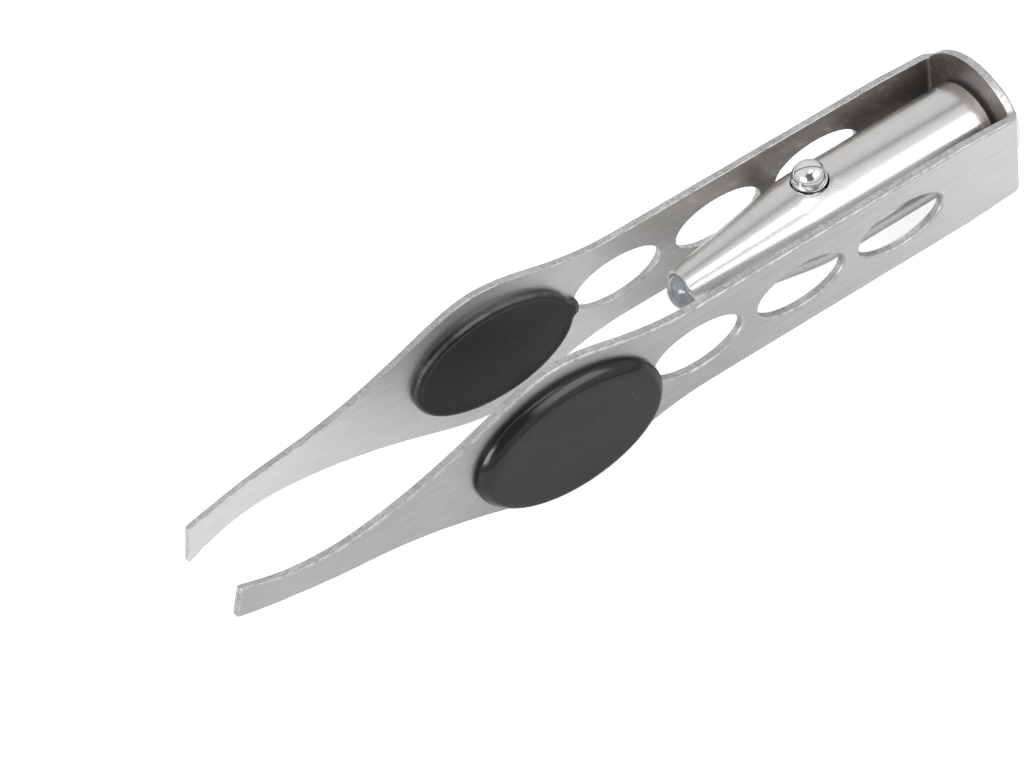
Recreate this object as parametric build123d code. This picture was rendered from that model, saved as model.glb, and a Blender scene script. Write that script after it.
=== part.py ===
"""Lighted tweezers: a bent steel strip with rubber grips and a small torch between its arms.

Lengths are in millimetres. While it is built, X = 0 is where the arms meet the bends of the end plate,
the tips point towards -X, Z = 0 is the middle of the strip's width and the torch lies on the X axis.
"""
import os
from math import asin, atan2, degrees, sqrt

from build123d import *

# Steel strip
sheet_thickness = 0.9
half_spacing = 6.85
arm_length = 87.4
arm_half_width = 4.9
rear_taper_length = 5.5
edge_radius = 0.18
seam_gap = 0.02

# Leaf-shaped bulge and tips, seen from the side
bulge_start = 36.8
bulge_position = 53.0
bulge_half_width = 7.5
bulge_start_handle = 8.2
bulge_rear_handle = 5.3
bulge_front_handle = 5.8
neck_setback = 5.6
neck_half_width = 1.45
neck_rear_handle = 16.2
neck_front_handle = 1.5
tip_half_width = 1.78
tip_slant = 1.1
tip_corner_radius = 0.3

# Tips, seen from above
tip_bend_length = 12.4
tip_bend_radius = 34.0
tip_thickness = 0.6

# Oval windows in the arms
window_count = 3
window_pitch = 12.0
first_window = 13.8
window_half_length = 5.05
window_half_height = 2.4

# Round end plate
plate_radius = 7.5
bend_inner_radius = 0.4
bend_half_height = 4.6
plate_corner_radius = 1.5

# Rubber grips
grip_setback = 0.2
grip_half_length = 10.25
grip_half_height = 6.4
grip_thickness = 1.6
grip_drop = 0.5
grip_edge_radius = 0.7
grip_groove_depth = 0.4
grip_groove_height = 0.35
grip_inner_half_length = 9.0
grip_inner_half_height = 5.4
grip_inner_thickness = 0.8
grip_inner_shift = 0.4
grip_inner_edge_radius = 0.35
grip_window_half_length = 7.8
grip_window_half_height = 4.2
grip_nub_length = 0.7
grip_nub_half_height = 0.9

# Torch barrel
barrel_radius = 4.65
barrel_length = 34.65
barrel_rim_chamfer = 0.25
barrel_wall = 0.5
taper_start = 20.4
taper_shoulder_radius = 20.0
nose_radius = 2.28
nose_wall = 0.23
thread_wall = 0.37
thread_bore_length = 3.0
bore_setback = 0.4

# Clearances
running_clearance = 0.06
seat_clearance = 0.05

# Tail cap and the ring in front of the end plate
cap_radius = 4.85
cap_thickness = 1.65
cap_edge_radius = 0.45
cap_boss_end_gap = 0.4
cap_boss_chamfer = 0.2
cap_boss_wall = 0.67
cap_floor = 2.05
ring_width = 0.3

# Button cells, their sleeve and the contact spring
cell_count = 3
cell_height = 3.6
cell_rim_chamfer = 0.2
cell_cap_step = 0.65
cell_cap_height = 0.3
sleeve_thickness = 0.14
sleeve_clearance = 0.03
spring_wire_radius = 0.2
spring_wire_sides = 6
spring_turns = 3.5
spring_side_gap = 0.25
spring_small_radius = 1.5
spring_end_gap = 0.04

# Lamp
lens_protrusion = 1.25
lens_body_length = 3.4
lens_flange_width = 0.4
lens_flange_thickness = 0.8
lead_half_spacing = 1.27
lead_width = 0.5
lead_board_overlap = 2.0
lead_buried_length = 2.3
anvil_length = 0.8
anvil_half_width = 0.45
cup_length = 0.8
cup_base_radius = 0.65
cup_rim_radius = 0.88
cup_wall = 0.14
cup_depth = 0.55
chip_thickness = 0.25
anode_head_length = 0.6

# Board, carrier and contacts
contact_thickness = 0.3
contact_radius = 3.0
contact_tab_length = 2.9
contact_tab_width = 1.5
carrier_rear_wall = 1.1
board_length = 9.6
board_width = 5.2
board_thickness = 0.8
leaf_thickness = 0.2
leaf_width = 1.6
leaf_foot_length = 2.0
leaf_foot_from_front = 1.4
leaf_reach = 2.9
leaf_curl = 0.8

# Switch and button
switch_setback = 3.8
button_travel = 0.4
button_radius = 1.78
button_rise = 0.17
button_hole_clearance = 0.1
button_flange_width = 0.47
button_flange_thickness = 0.6
button_shank_length = 1.67
button_stem_radius = 0.9
switch_width = 3.4
switch_height = 1.5
switch_cover_thickness = 0.15
switch_cover_hole_clearance = 0.2
switch_foot_width = 0.5
switch_foot_length = 0.7
switch_foot_thickness = 0.2
switch_foot_spacing = 2.2
plunger_radius = 0.8
plunger_length = 1.35
plunger_end_gap = 0.05

# Excess of a cutting solid beyond the surface that it cuts, and of an arc beyond the tip
cut_margin = 1.0
arc_margin = 1.0

# Places worked out from the sizes above
inner_face = half_spacing - sheet_thickness
neck_position = arm_length - neck_setback
tip_bend_start = arm_length - tip_bend_length
tip_drop = tip_bend_radius - sqrt(tip_bend_radius**2 - tip_bend_length**2)
tip_inner_drop = tip_drop - sheet_thickness + tip_thickness
tip_inner_radius = (tip_bend_length**2 + tip_inner_drop**2) / (2 * tip_inner_drop)
grip_position = bulge_position - grip_setback
plate_inner = bend_inner_radius
plate_outer = bend_inner_radius + sheet_thickness
bore_radius = barrel_radius - barrel_wall
bore_length = taper_start - bore_setback
thread_bore_radius = barrel_radius - thread_wall
cap_boss_radius = thread_bore_radius - running_clearance
cap_boss_depth = thread_bore_length - cap_boss_end_gap
cap_pocket_radius = cap_boss_radius - cap_boss_wall
plate_hole_radius = cap_boss_radius + running_clearance
cap_end = plate_outer + cap_thickness
cell_radius = bore_radius - 2 * sleeve_clearance - sleeve_thickness
cell_cap_radius = cell_radius - cell_cap_step
spring_large_radius = cap_pocket_radius - spring_side_gap - spring_wire_radius
lens_radius = nose_radius - nose_wall - seat_clearance
lens_flange_radius = lens_radius + lens_flange_width
cells_rear = -thread_bore_length
cells_front = cells_rear - cell_count * cell_height
carrier_rear = cells_front - contact_thickness
lens_front = -barrel_length - lens_protrusion
dome_centre = lens_front + lens_radius
flange_front = dome_centre + lens_body_length
carrier_front = flange_front + lens_flange_thickness
board_rear = carrier_rear - carrier_rear_wall
board_front = board_rear - board_length
button_position = -board_rear + switch_setback
button_centre_height = barrel_radius + button_rise
button_flange_radius = button_radius + button_flange_width
board_top = -lead_width / 2
board_bottom = board_top - board_thickness
switch_top = board_top + switch_height
button_flange_top = button_centre_height - button_shank_length
button_flange_bottom = button_flange_top - button_flange_thickness
plunger_top = switch_top + plunger_length / 2
origin_shift = ((arm_length - cap_end) / 2, 0, bulge_half_width)


def turned(*points):
    """Solid turned about the X axis from (x, radius) corners."""
    outline = Polyline(*points, close=True)
    return revolve(Plane.XZ * make_face(outline), Axis.X)


def tube(rear, front, outer, inner):
    """Plain ring on the X axis between two places along it."""
    return turned((rear, inner), (rear, outer), (front, outer), (front, inner))


def block(x_from, x_to, y_from, y_to, z_from, z_to):
    """Rectangular block between the given limits."""
    centre = ((x_from + x_to) / 2, (y_from + y_to) / 2, (z_from + z_to) / 2)
    return Pos(*centre) * Box(abs(x_to - x_from), abs(y_to - y_from), abs(z_to - z_from))


def post(x, radius, z_from, z_to):
    """Upright cylinder in the middle plane."""
    return Pos(x, 0, (z_from + z_to) / 2) * Cylinder(radius, z_to - z_from)


def oval(half_length, half_height, y_from, y_to, x, z=0):
    """Elliptical slab across the object, between two planes of constant Y."""
    plane = Plane(origin=(x, y_from, z), x_dir=(1, 0, 0), z_dir=(0, 1, 0))
    return extrude(plane * Ellipse(half_length, half_height), amount=y_to - y_from)


def side_edge(side, reach):
    """Upper (+1) or lower (-1) edge line of an arm seen from the side, from the bend to the tip."""
    bend = (-seam_gap, side * bend_half_height)
    shoulder = (-rear_taper_length, side * arm_half_width)
    swell = (-bulge_start, side * arm_half_width)
    crest = (-bulge_position, side * bulge_half_width)
    neck = (-neck_position, side * neck_half_width)
    tip = (-reach, side * tip_half_width)
    rise = Bezier(
        swell,
        (swell[0] - bulge_start_handle, swell[1]),
        (crest[0] + bulge_rear_handle, crest[1]),
        crest,
    )
    fall = Bezier(
        crest,
        (crest[0] - bulge_front_handle, crest[1]),
        (neck[0] + neck_rear_handle, neck[1]),
        neck,
    )
    flare = Bezier(neck, (neck[0] - neck_front_handle, neck[1]), tip)
    return Line(bend, shoulder) + Line(shoulder, swell) + rise + fall + flare


def arm_side_profile():
    """Face of an arm seen from the side."""
    upper_reach = arm_length - tip_slant
    upper = side_edge(1, upper_reach)
    lower = side_edge(-1, arm_length)
    end = Line((-upper_reach, tip_half_width), (-arm_length, -tip_half_width))
    seam = Line((-seam_gap, bend_half_height), (-seam_gap, -bend_half_height))
    face = make_face(upper + end + lower + seam)
    return fillet(face.vertices().sort_by(Axis.X)[:2], tip_corner_radius)


def tip_arc(face, radius):
    """Arc of one face of the left arm's tip, tangent to the flat at its distance from the middle plane."""
    sweep_angle = degrees(asin(tip_bend_length / radius)) + arc_margin
    return CenterArc((-tip_bend_start, face - radius), radius, 90, sweep_angle)


def arm_plan():
    """Face of the left arm's sheet seen from above: a long flat, and a tip bent inwards and ground thinner."""
    outer_arc = tip_arc(half_spacing, tip_bend_radius)
    inner_arc = tip_arc(inner_face, tip_inner_radius)
    outer = Line((-seam_gap, half_spacing), outer_arc @ 0) + outer_arc
    inner = Line((-seam_gap, inner_face), inner_arc @ 0) + inner_arc
    ends = Line(outer_arc @ 1, inner_arc @ 1) + Line((-seam_gap, inner_face), (-seam_gap, half_spacing))
    return make_face(outer + inner + ends)


def outer_edges(arm):
    """Edges round the outside of the sheet, which blanking leaves rounded, without the seam and the bend line."""
    flat = [face for face in arm.faces().filter_by(GeomType.PLANE) if face.center().Y > half_spacing - seam_gap]
    tip = arm.faces().filter_by(GeomType.CYLINDER).sort_by(Axis.Y)[-1]
    edges = []
    for face in flat + [tip]:
        for edge in face.edges():
            on_bend_line = abs(edge.center().X + tip_bend_start) < seam_gap
            if not on_bend_line and edge.center().X < -2 * seam_gap:
                edges.append(edge)
    return edges


def left_arm():
    """Left arm: the bent sheet cut to its side profile, with its windows and rounded outer edges."""
    sheet = extrude(arm_plan(), amount=2 * bulge_half_width, both=True)
    profile = extrude(Plane.XZ * arm_side_profile(), amount=2 * half_spacing, both=True)
    arm = sheet & profile
    cut_from = inner_face - cut_margin
    cut_to = half_spacing + cut_margin
    for index in range(window_count):
        x = -first_window - index * window_pitch
        arm -= oval(window_half_length, window_half_height, cut_from, cut_to, x)
    arm -= oval(grip_window_half_length, grip_window_half_height, cut_from, cut_to, -grip_position)
    return fillet(outer_edges(arm), edge_radius)


def left_grip():
    """Left grip: outer pad, neck through the arm's window and inner pad, in one piece of rubber."""
    outer_start = half_spacing + grip_groove_height
    pad_end = half_spacing + grip_thickness
    pad = oval(grip_half_length, grip_half_height, outer_start, pad_end, -grip_position, -grip_drop)
    pad = fillet(pad.edges().sort_by(Axis.Y)[-1], grip_edge_radius)
    foot = oval(
        grip_half_length - grip_groove_depth,
        grip_half_height - grip_groove_depth,
        half_spacing,
        outer_start,
        -grip_position,
        -grip_drop,
    )
    neck = oval(
        grip_window_half_length, grip_window_half_height, inner_face, half_spacing, -grip_position
    )
    inner_end = inner_face - grip_inner_thickness
    lining_centre = grip_inner_shift - grip_position
    lining = oval(grip_inner_half_length, grip_inner_half_height, inner_end, inner_face, lining_centre)
    lining = fillet(lining.edges().sort_by(Axis.Y)[0], grip_inner_edge_radius)
    nub_root = lining_centre + grip_inner_half_length - grip_nub_length
    nub = block(
        nub_root,
        nub_root + 2 * grip_nub_length,
        inner_end + grip_inner_edge_radius,
        inner_face,
        -grip_nub_half_height,
        grip_nub_half_height,
    )
    return pad + foot + neck + lining + nub


def plate_outline():
    """Face of the end plate seen from the rear: a disc faired into the two bends, with the hole for the torch."""
    disc = Circle(plate_radius) + Rectangle(2 * half_spacing, 2 * bend_half_height)
    corners = [corner for corner in disc.vertices() if abs(corner.X) < half_spacing - seam_gap]
    return fillet(corners, plate_corner_radius) - Circle(plate_hole_radius)


def end_plate():
    """Round rear end of the strip with both bends and the hole for the torch."""
    bend_centre = inner_face - bend_inner_radius
    outer_radius = bend_inner_radius + sheet_thickness
    upper_outer = CenterArc((0, bend_centre), outer_radius, 0, 90)
    upper_inner = CenterArc((0, bend_centre), bend_inner_radius, 0, 90)
    lower_outer = CenterArc((0, -bend_centre), outer_radius, 270, 90)
    lower_inner = CenterArc((0, -bend_centre), bend_inner_radius, 270, 90)
    sides = Line(upper_outer @ 0, lower_outer @ 1) + Line(upper_inner @ 0, lower_inner @ 1)
    ends = Line(upper_outer @ 1, upper_inner @ 1) + Line(lower_outer @ 0, lower_inner @ 0)
    plan = make_face(upper_outer + upper_inner + lower_outer + lower_inner + sides + ends)
    bent = extrude(plan, amount=2 * plate_radius, both=True)
    return bent & extrude(Plane.YZ * plate_outline(), amount=2 * plate_outer, both=True)


def light_barrel():
    """Barrel: turned tube with a smooth shoulder into the nose, stepped bore and button hole."""
    rim = barrel_rim_chamfer
    outside = FilletPolyline(
        (-rim, barrel_radius),
        (-taper_start, barrel_radius),
        (-barrel_length, nose_radius),
        radius=taper_shoulder_radius,
    )
    lens_bore = lens_radius + seat_clearance
    flange_bore = lens_flange_radius + seat_clearance
    inside = Polyline(
        (-barrel_length, nose_radius),
        (-barrel_length, lens_bore),
        (flange_front, lens_bore),
        (flange_front, flange_bore),
        (carrier_front, flange_bore),
        (-bore_length, bore_radius),
        (-thread_bore_length, bore_radius),
        (-thread_bore_length, thread_bore_radius),
        (0, thread_bore_radius),
        (0, barrel_radius - rim),
        (-rim, barrel_radius),
    )
    barrel = revolve(Plane.XZ * make_face(outside + inside), Axis.X)
    hole_radius = button_radius + button_hole_clearance
    return barrel - post(-button_position, hole_radius, 0, 2 * barrel_radius)


def sealing_ring():
    """Black ring squeezed between the barrel's rim and the end plate."""
    return tube(plate_inner, 0, thread_bore_radius + ring_width, thread_bore_radius)


def tail_cap():
    """Tail cap: smooth head outside the plate and a hollow boss reaching into the barrel."""
    floor = cap_end - cap_floor
    cut = cap_boss_chamfer
    cap = turned(
        (cap_end, 0),
        (cap_end, cap_radius),
        (plate_outer, cap_radius),
        (plate_outer, cap_boss_radius),
        (cut - cap_boss_depth, cap_boss_radius),
        (-cap_boss_depth, cap_boss_radius - cut),
        (-cap_boss_depth, cap_pocket_radius),
        (floor, cap_pocket_radius),
        (floor, 0),
    )
    rim = cap.edges().filter_by(GeomType.CIRCLE).sort_by(Axis.X)[-1]
    return fillet(rim, cap_edge_radius)


def contact_spring():
    """Conical spring between the tail cap's floor and the rear cell."""
    start = cap_end - cap_floor - spring_wire_radius - spring_end_gap
    length = start - cells_rear - spring_wire_radius - spring_end_gap
    angle = degrees(atan2(spring_small_radius - spring_large_radius, length))
    coil = Helix(length / spring_turns, length, spring_large_radius, cone_angle=angle)
    wire = RegularPolygon(spring_wire_radius, spring_wire_sides)
    section = Plane(origin=coil @ 0, z_dir=coil % 0) * wire
    spring = sweep(section, path=coil, is_frenet=True)
    return Pos(start, 0, 0) * Rot(0, -90, 0) * spring


def button_cell(index):
    """One button cell: steel can with the smaller cap of its other pole facing the rear."""
    rear = cells_rear - index * cell_height
    front = rear - cell_height
    can_rear = rear - cell_cap_height
    can = tube(can_rear, front, cell_radius, 0)
    rims = can.edges().filter_by(GeomType.CIRCLE)
    can = chamfer(rims, cell_rim_chamfer)
    return can + tube(rear, can_rear, cell_cap_radius, 0)


def cell_sleeve():
    """Thin insulating tube between the cells and the barrel."""
    inner = cell_radius + sleeve_clearance
    return tube(cells_rear, cells_front, inner + sleeve_thickness, inner)


def front_contact():
    """Disc that meets the front cell, with a tab along the underside of the board."""
    disc = tube(cells_front, carrier_rear, contact_radius, 0)
    tab = block(
        carrier_rear,
        carrier_rear - contact_tab_length,
        -contact_tab_width / 2,
        contact_tab_width / 2,
        board_bottom - contact_thickness,
        board_bottom,
    )
    return disc + tab


def leaf_foot_front():
    """Place of the front end of the leaf's foot under the board."""
    return board_front + leaf_foot_from_front


def ground_contact():
    """Leaf under the board that springs down to the barrel's wall."""
    front = leaf_foot_front()
    bend = front + leaf_foot_length
    middle = board_bottom - leaf_thickness / 2
    wall = sqrt(bore_radius**2 - (leaf_width / 2) ** 2)
    low = -wall + seat_clearance + leaf_thickness / 2
    rear = bend + leaf_reach + leaf_curl
    path = Polyline(
        (front, middle),
        (bend, middle),
        (bend + leaf_reach, low),
        (rear, low + leaf_curl / 2),
    )
    section = trace(path, leaf_thickness)
    leaf = extrude(Plane.XZ * section, amount=leaf_width / 2, both=True)
    top_cut = block(front - cut_margin, rear + cut_margin, -leaf_width, leaf_width, board_bottom, 0)
    return leaf - top_cut


def carrier():
    """Plastic carrier: fills the bore ahead of the cells, open on top over the board."""
    c = seat_clearance
    flange_bore = lens_flange_radius
    body = turned(
        (carrier_rear, 0),
        (carrier_rear, bore_radius - c),
        (-bore_length, bore_radius - c),
        (carrier_front, flange_bore),
        (carrier_front, 0),
    )
    half = board_width / 2 + c
    body -= block(board_front - c, board_rear + c, -half, half, board_bottom, 2 * barrel_radius)
    lead_half = lead_half_spacing + lead_width / 2 + c
    lead_height = lead_width / 2 + c
    body -= block(carrier_front - cut_margin, board_front, -lead_half, lead_half, -lead_height, lead_height)
    tab_half = contact_tab_width / 2 + c
    tab_floor = board_bottom - contact_thickness - c
    tab_end = carrier_rear - contact_tab_length - c
    body -= block(tab_end, carrier_rear + cut_margin, -tab_half, tab_half, tab_floor, board_bottom)
    leaf_half = leaf_width / 2 + c
    leaf_front = leaf_foot_front() - c
    leaf_rear = leaf_front + leaf_foot_length + leaf_reach + leaf_curl + leaf_thickness
    body -= block(leaf_front, leaf_rear, -leaf_half, leaf_half, -2 * barrel_radius, board_bottom)
    return body


def circuit_board():
    """Small board under the switch."""
    half = board_width / 2
    return block(board_front, board_rear, -half, half, board_bottom, board_top)


def switch_body():
    """Moulded body of the switch with the bore of its plunger."""
    half = switch_width / 2
    x = -button_position
    body = block(x - half, x + half, -half, half, board_top, switch_top)
    well = plunger_top - plunger_length - button_travel - plunger_end_gap
    return body - post(x, plunger_radius + running_clearance, well, switch_top + cut_margin)


def switch_cover():
    """Thin metal cover on the switch."""
    half = switch_width / 2
    x = -button_position
    top = switch_top + switch_cover_thickness
    cover = block(x - half, x + half, -half, half, switch_top, top)
    hole_radius = plunger_radius + switch_cover_hole_clearance
    return cover - post(x, hole_radius, switch_top - cut_margin, top + cut_margin)


def switch_terminals():
    """Four feet of the switch on the board."""
    feet = []
    inner = switch_width / 2
    outer = inner + switch_foot_length
    for side in (-1, 1):
        for along in (-1, 1):
            x = -button_position + along * switch_foot_spacing / 2
            x_from = x - switch_foot_width / 2
            x_to = x + switch_foot_width / 2
            top = board_top + switch_foot_thickness
            feet.append(block(x_from, x_to, side * inner, side * outer, board_top, top))
    return Compound(feet)


def switch_plunger():
    """Plunger of the switch under the button."""
    return post(-button_position, plunger_radius, plunger_top - plunger_length, plunger_top)


def button():
    """Ball-headed button with a flange inside the barrel and a stem down to the plunger."""
    x = -button_position
    ball = Pos(x, 0, button_centre_height) * Sphere(button_radius)
    shank = post(x, button_radius, button_flange_top, button_centre_height)
    flange = post(x, button_flange_radius, button_flange_bottom, button_flange_top)
    stem = post(x, button_stem_radius, plunger_top, button_flange_bottom)
    hollow = post(x, button_radius, 0, button_flange_bottom)
    return (ball - hollow) + shank + flange + stem


def cup_start():
    """Place along the axis where the lamp's reflector cup begins."""
    return carrier_front - lens_flange_thickness - lead_buried_length + anvil_length


def led_cathode():
    """Lead with the anvil and reflector cup that hold the chip."""
    half = lead_width / 2
    anvil_front = cup_start() - anvil_length
    lead = block(
        board_front + lead_board_overlap,
        anvil_front,
        -lead_half_spacing - half,
        -lead_half_spacing + half,
        -half,
        half,
    )
    anvil = block(
        cup_start(),
        anvil_front,
        -lead_half_spacing - half,
        anvil_half_width,
        -anvil_half_width,
        anvil_half_width,
    )
    rim = anvil_front - cup_length
    cup_floor = rim + cup_depth
    cup = turned(
        (anvil_front, 0),
        (anvil_front, cup_base_radius),
        (rim, cup_rim_radius),
        (rim, cup_rim_radius - cup_wall),
        (cup_floor, cup_base_radius - cup_wall),
        (cup_floor, 0),
    )
    return lead + anvil + cup


def led_anode():
    """Second lead with its flat head beside the cup."""
    half = lead_width / 2
    neck = cup_start() - anvil_length
    lead = block(
        board_front + lead_board_overlap,
        neck,
        lead_half_spacing - half,
        lead_half_spacing + half,
        -half,
        half,
    )
    head = block(
        neck,
        neck - anode_head_length,
        lead_half_spacing - half,
        lead_half_spacing + half,
        -anvil_half_width,
        anvil_half_width,
    )
    return lead + head


def led_chip():
    """Chip under its phosphor, on the floor of the cup."""
    floor = cup_start() - anvil_length - cup_length + cup_depth
    return tube(floor, floor - chip_thickness, cup_base_radius - cup_wall, 0)


def led_lens():
    """Clear lens with a domed front, cast round the leads and the chip."""
    flange = tube(carrier_front, flange_front, lens_flange_radius, 0)
    stem = tube(flange_front, dome_centre, lens_radius, 0)
    dome = Pos(dome_centre, 0, 0) * Sphere(lens_radius)
    lens = flange + stem + dome
    return lens - led_cathode() - led_anode() - led_chip()


def all_pieces():
    """Every piece by name, in the frame used for building."""
    arm = left_arm()
    grip = left_grip()
    pieces = {
        "end_plate": end_plate(),
        "left_arm": arm,
        "right_arm": mirror(arm, about=Plane.XZ),
        "left_grip": grip,
        "right_grip": mirror(grip, about=Plane.XZ),
        "light_barrel": light_barrel(),
        "sealing_ring": sealing_ring(),
        "tail_cap": tail_cap(),
        "contact_spring": contact_spring(),
        "cell_sleeve": cell_sleeve(),
        "front_contact": front_contact(),
        "carrier": carrier(),
        "circuit_board": circuit_board(),
        "ground_contact": ground_contact(),
        "switch_body": switch_body(),
        "switch_cover": switch_cover(),
        "switch_terminals": switch_terminals(),
        "switch_plunger": switch_plunger(),
        "button": button(),
        "led_lens": led_lens(),
        "led_cathode": led_cathode(),
        "led_anode": led_anode(),
        "led_chip": led_chip(),
    }
    for index, name in enumerate(("rear_cell", "middle_cell", "front_cell")):
        pieces[name] = button_cell(index)
    return pieces


def main():
    """Place each piece in the part's frame and write it."""
    os.makedirs("parts", exist_ok=True)
    for name, piece in all_pieces().items():
        placed = Pos(*origin_shift) * piece
        placed.label = name
        export_step(placed, f"parts/{name}.step")


main()
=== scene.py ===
"""Looks of the lighted tweezers: a bent steel strip, two rubber grips and a small torch.

Sizes of the pieces are millimetres in the maker's frame: X = 0 where the arms meet the bends of the
end plate, tips towards -X, Z = 0 at the middle of the strip's width. place() turns them into metres
in the row frame. Finishes and the studio are sized in metres, and grains are counted per metre.
"""
import logging
import math
from collections.abc import Callable, Sequence
from dataclasses import dataclass, field, replace
from enum import Enum, IntEnum
from typing import NamedTuple

import bmesh
import bpy
from mathutils import Matrix, Vector


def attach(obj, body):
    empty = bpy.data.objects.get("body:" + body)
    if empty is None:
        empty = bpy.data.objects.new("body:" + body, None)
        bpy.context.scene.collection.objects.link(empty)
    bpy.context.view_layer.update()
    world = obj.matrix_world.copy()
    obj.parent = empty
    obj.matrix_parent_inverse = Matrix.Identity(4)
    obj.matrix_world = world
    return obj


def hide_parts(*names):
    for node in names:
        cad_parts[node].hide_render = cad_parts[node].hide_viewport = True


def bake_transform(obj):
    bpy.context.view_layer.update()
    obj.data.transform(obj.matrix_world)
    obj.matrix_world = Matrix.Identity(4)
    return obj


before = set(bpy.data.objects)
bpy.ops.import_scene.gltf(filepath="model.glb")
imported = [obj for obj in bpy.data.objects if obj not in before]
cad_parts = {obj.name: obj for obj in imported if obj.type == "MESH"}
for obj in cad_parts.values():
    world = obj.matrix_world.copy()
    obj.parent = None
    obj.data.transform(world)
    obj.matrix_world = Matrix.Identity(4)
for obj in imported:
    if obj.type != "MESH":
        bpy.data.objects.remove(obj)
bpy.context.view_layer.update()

LOG = logging.getLogger("tweezers")

MILLIMETRE = 0.001
REAR_SHIFT = 42.225
FLOOR_SHIFT = 7.5
QUARTER_TURN = math.pi / 2
SMOOTH_ANGLE = math.radians(35)
WHITE = (1, 1, 1, 1)

Flat = tuple[float, float]
Triple = tuple[float, float, float]
Colour = Triple
Ring = list[bmesh.types.BMVert]
Socket = bpy.types.NodeSocket

NOISE_LIMITS: Flat = (0.35, 0.65)


def place(x: float, y: float, z: float) -> Vector:
    """Turns a point of the maker's frame, in millimetres, into the row frame.

    Args:
        x: Place along the strip, from the bends towards the rear.
        y: Place across the gap between the arms.
        z: Height above the middle of the strip's width.

    Returns:
        The point in metres in the row frame.
    """
    return Vector((x + REAR_SHIFT, y, z + FLOOR_SHIFT)) * MILLIMETRE


def add_to_scene(name: str, data: bpy.types.ID) -> bpy.types.Object:
    """Makes an object and links it to the scene.

    Args:
        name: Name of the object.
        data: Its mesh, camera or lamp.

    Returns:
        The object.
    """
    made = bpy.data.objects.new(name, data)
    bpy.context.scene.collection.objects.link(made)
    return made


class Side(Enum):
    """The two arms, by the sign of their Y."""

    LEFT = 1
    RIGHT = -1

    @property
    def arm_body(self) -> str:
        """Name of the body that this side's arm moves with."""
        return "left_arm" if self is Side.LEFT else "right_arm"

    @property
    def grip_node(self) -> str:
        """Name of this side's grip."""
        return "left_grip" if self is Side.LEFT else "right_grip"

    @property
    def inner_finish(self) -> str:
        """Finish of the arm's inner side: painted shade towards the end plate, and painted lighter
        on the right, where the barrel mirrors it.
        """
        return "inner_steel_painted_shade" if self is Side.LEFT else "inner_steel_painted_light"


class Space(Enum):
    """Which coordinates a grain is laid out in."""

    OBJECT = "Object"
    UNROLLED = "UV"


# ------------------------------------------------------------------------------------ node trees


class Graph:
    """Node tree that is put together step by step."""

    def __init__(self, tree: bpy.types.NodeTree) -> None:
        """Takes the tree to add to.

        Args:
            tree: The node tree.
        """
        self.tree = tree

    def node(self, kind: str, **settings: object) -> bpy.types.Node:
        """Adds a node and sets its properties.

        Args:
            kind: Blender's name of the node type.
            **settings: Properties of the node.

        Returns:
            The new node.
        """
        made = self.tree.nodes.new(kind)
        for key, value in settings.items():
            setattr(made, key, value)
        return made

    def feed(self, target: Socket, source: object) -> None:
        """Links a socket to another, or sets its value.

        Args:
            target: The socket that takes it.
            source: Output of another node, or a value.
        """
        if isinstance(source, Socket):
            self.tree.links.new(source, target)
        else:
            target.default_value = source

    def axis(self, vector: Socket, name: str) -> Socket:
        """Takes one axis of a vector.

        Args:
            vector: The vector.
            name: X, Y or Z.

        Returns:
            Its length along that axis.
        """
        parts = self.node("ShaderNodeSeparateXYZ")
        self.feed(parts.inputs[0], vector)
        return parts.outputs[name]

    def facing(self, vector: Socket, direction: Triple) -> Socket:
        """How far a vector points in a direction.

        Args:
            vector: The vector.
            direction: The direction.

        Returns:
            Their dot product.
        """
        made = self.node("ShaderNodeVectorMath", operation="DOT_PRODUCT")
        made.inputs[1].default_value = direction
        self.feed(made.inputs[0], vector)
        return made.outputs["Value"]

    def combine(self, operation: str, first: object, second: object) -> Socket:
        """One arithmetic step on two values.

        Args:
            operation: Blender's name of the step.
            first: Value or socket.
            second: Value or socket.

        Returns:
            The result.
        """
        made = self.node("ShaderNodeMath", operation=operation)
        self.feed(made.inputs[0], first)
        self.feed(made.inputs[1], second)
        return made.outputs[0]

    def weighted(self, *parts: tuple[Socket, float]) -> Socket:
        """Sum of values, each times its weight.

        Args:
            *parts: Value and weight of each.

        Returns:
            The sum.
        """
        terms = [self.combine("MULTIPLY", value, weight) for value, weight in parts]
        total = terms[0]
        for term in terms[1:]:
            total = self.combine("ADD", total, term)
        return total

    def span(self, value: Socket, low: Flat, high: Flat, course: str = "LINEAR") -> Socket:
        """Maps a value from one range to another.

        Args:
            value: The value.
            low: Input and output at the lower end.
            high: Input and output at the upper end.
            course: Blender's name of the way from one end to the other.

        Returns:
            The mapped value.
        """
        made = self.node("ShaderNodeMapRange", interpolation_type=course)
        made.inputs["From Min"].default_value, made.inputs["To Min"].default_value = low
        made.inputs["From Max"].default_value, made.inputs["To Max"].default_value = high
        self.feed(made.inputs["Value"], value)
        return made.outputs["Result"]

    def greys(self, value: Socket, stops: Sequence[Flat]) -> Socket:
        """Reads a grey off a ramp.

        Args:
            value: Place along the ramp.
            stops: Place and level of each of its stops.

        Returns:
            The grey.
        """
        ramp = self.node("ShaderNodeValToRGB")
        self.feed(ramp.inputs["Fac"], value)
        elements = ramp.color_ramp.elements
        while len(elements) < len(stops):
            elements.new(0.5)
        for element, (at, level) in zip(elements, stops):
            element.position = at
            element.color = (level, level, level, 1)
        return ramp.outputs["Color"]


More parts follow.
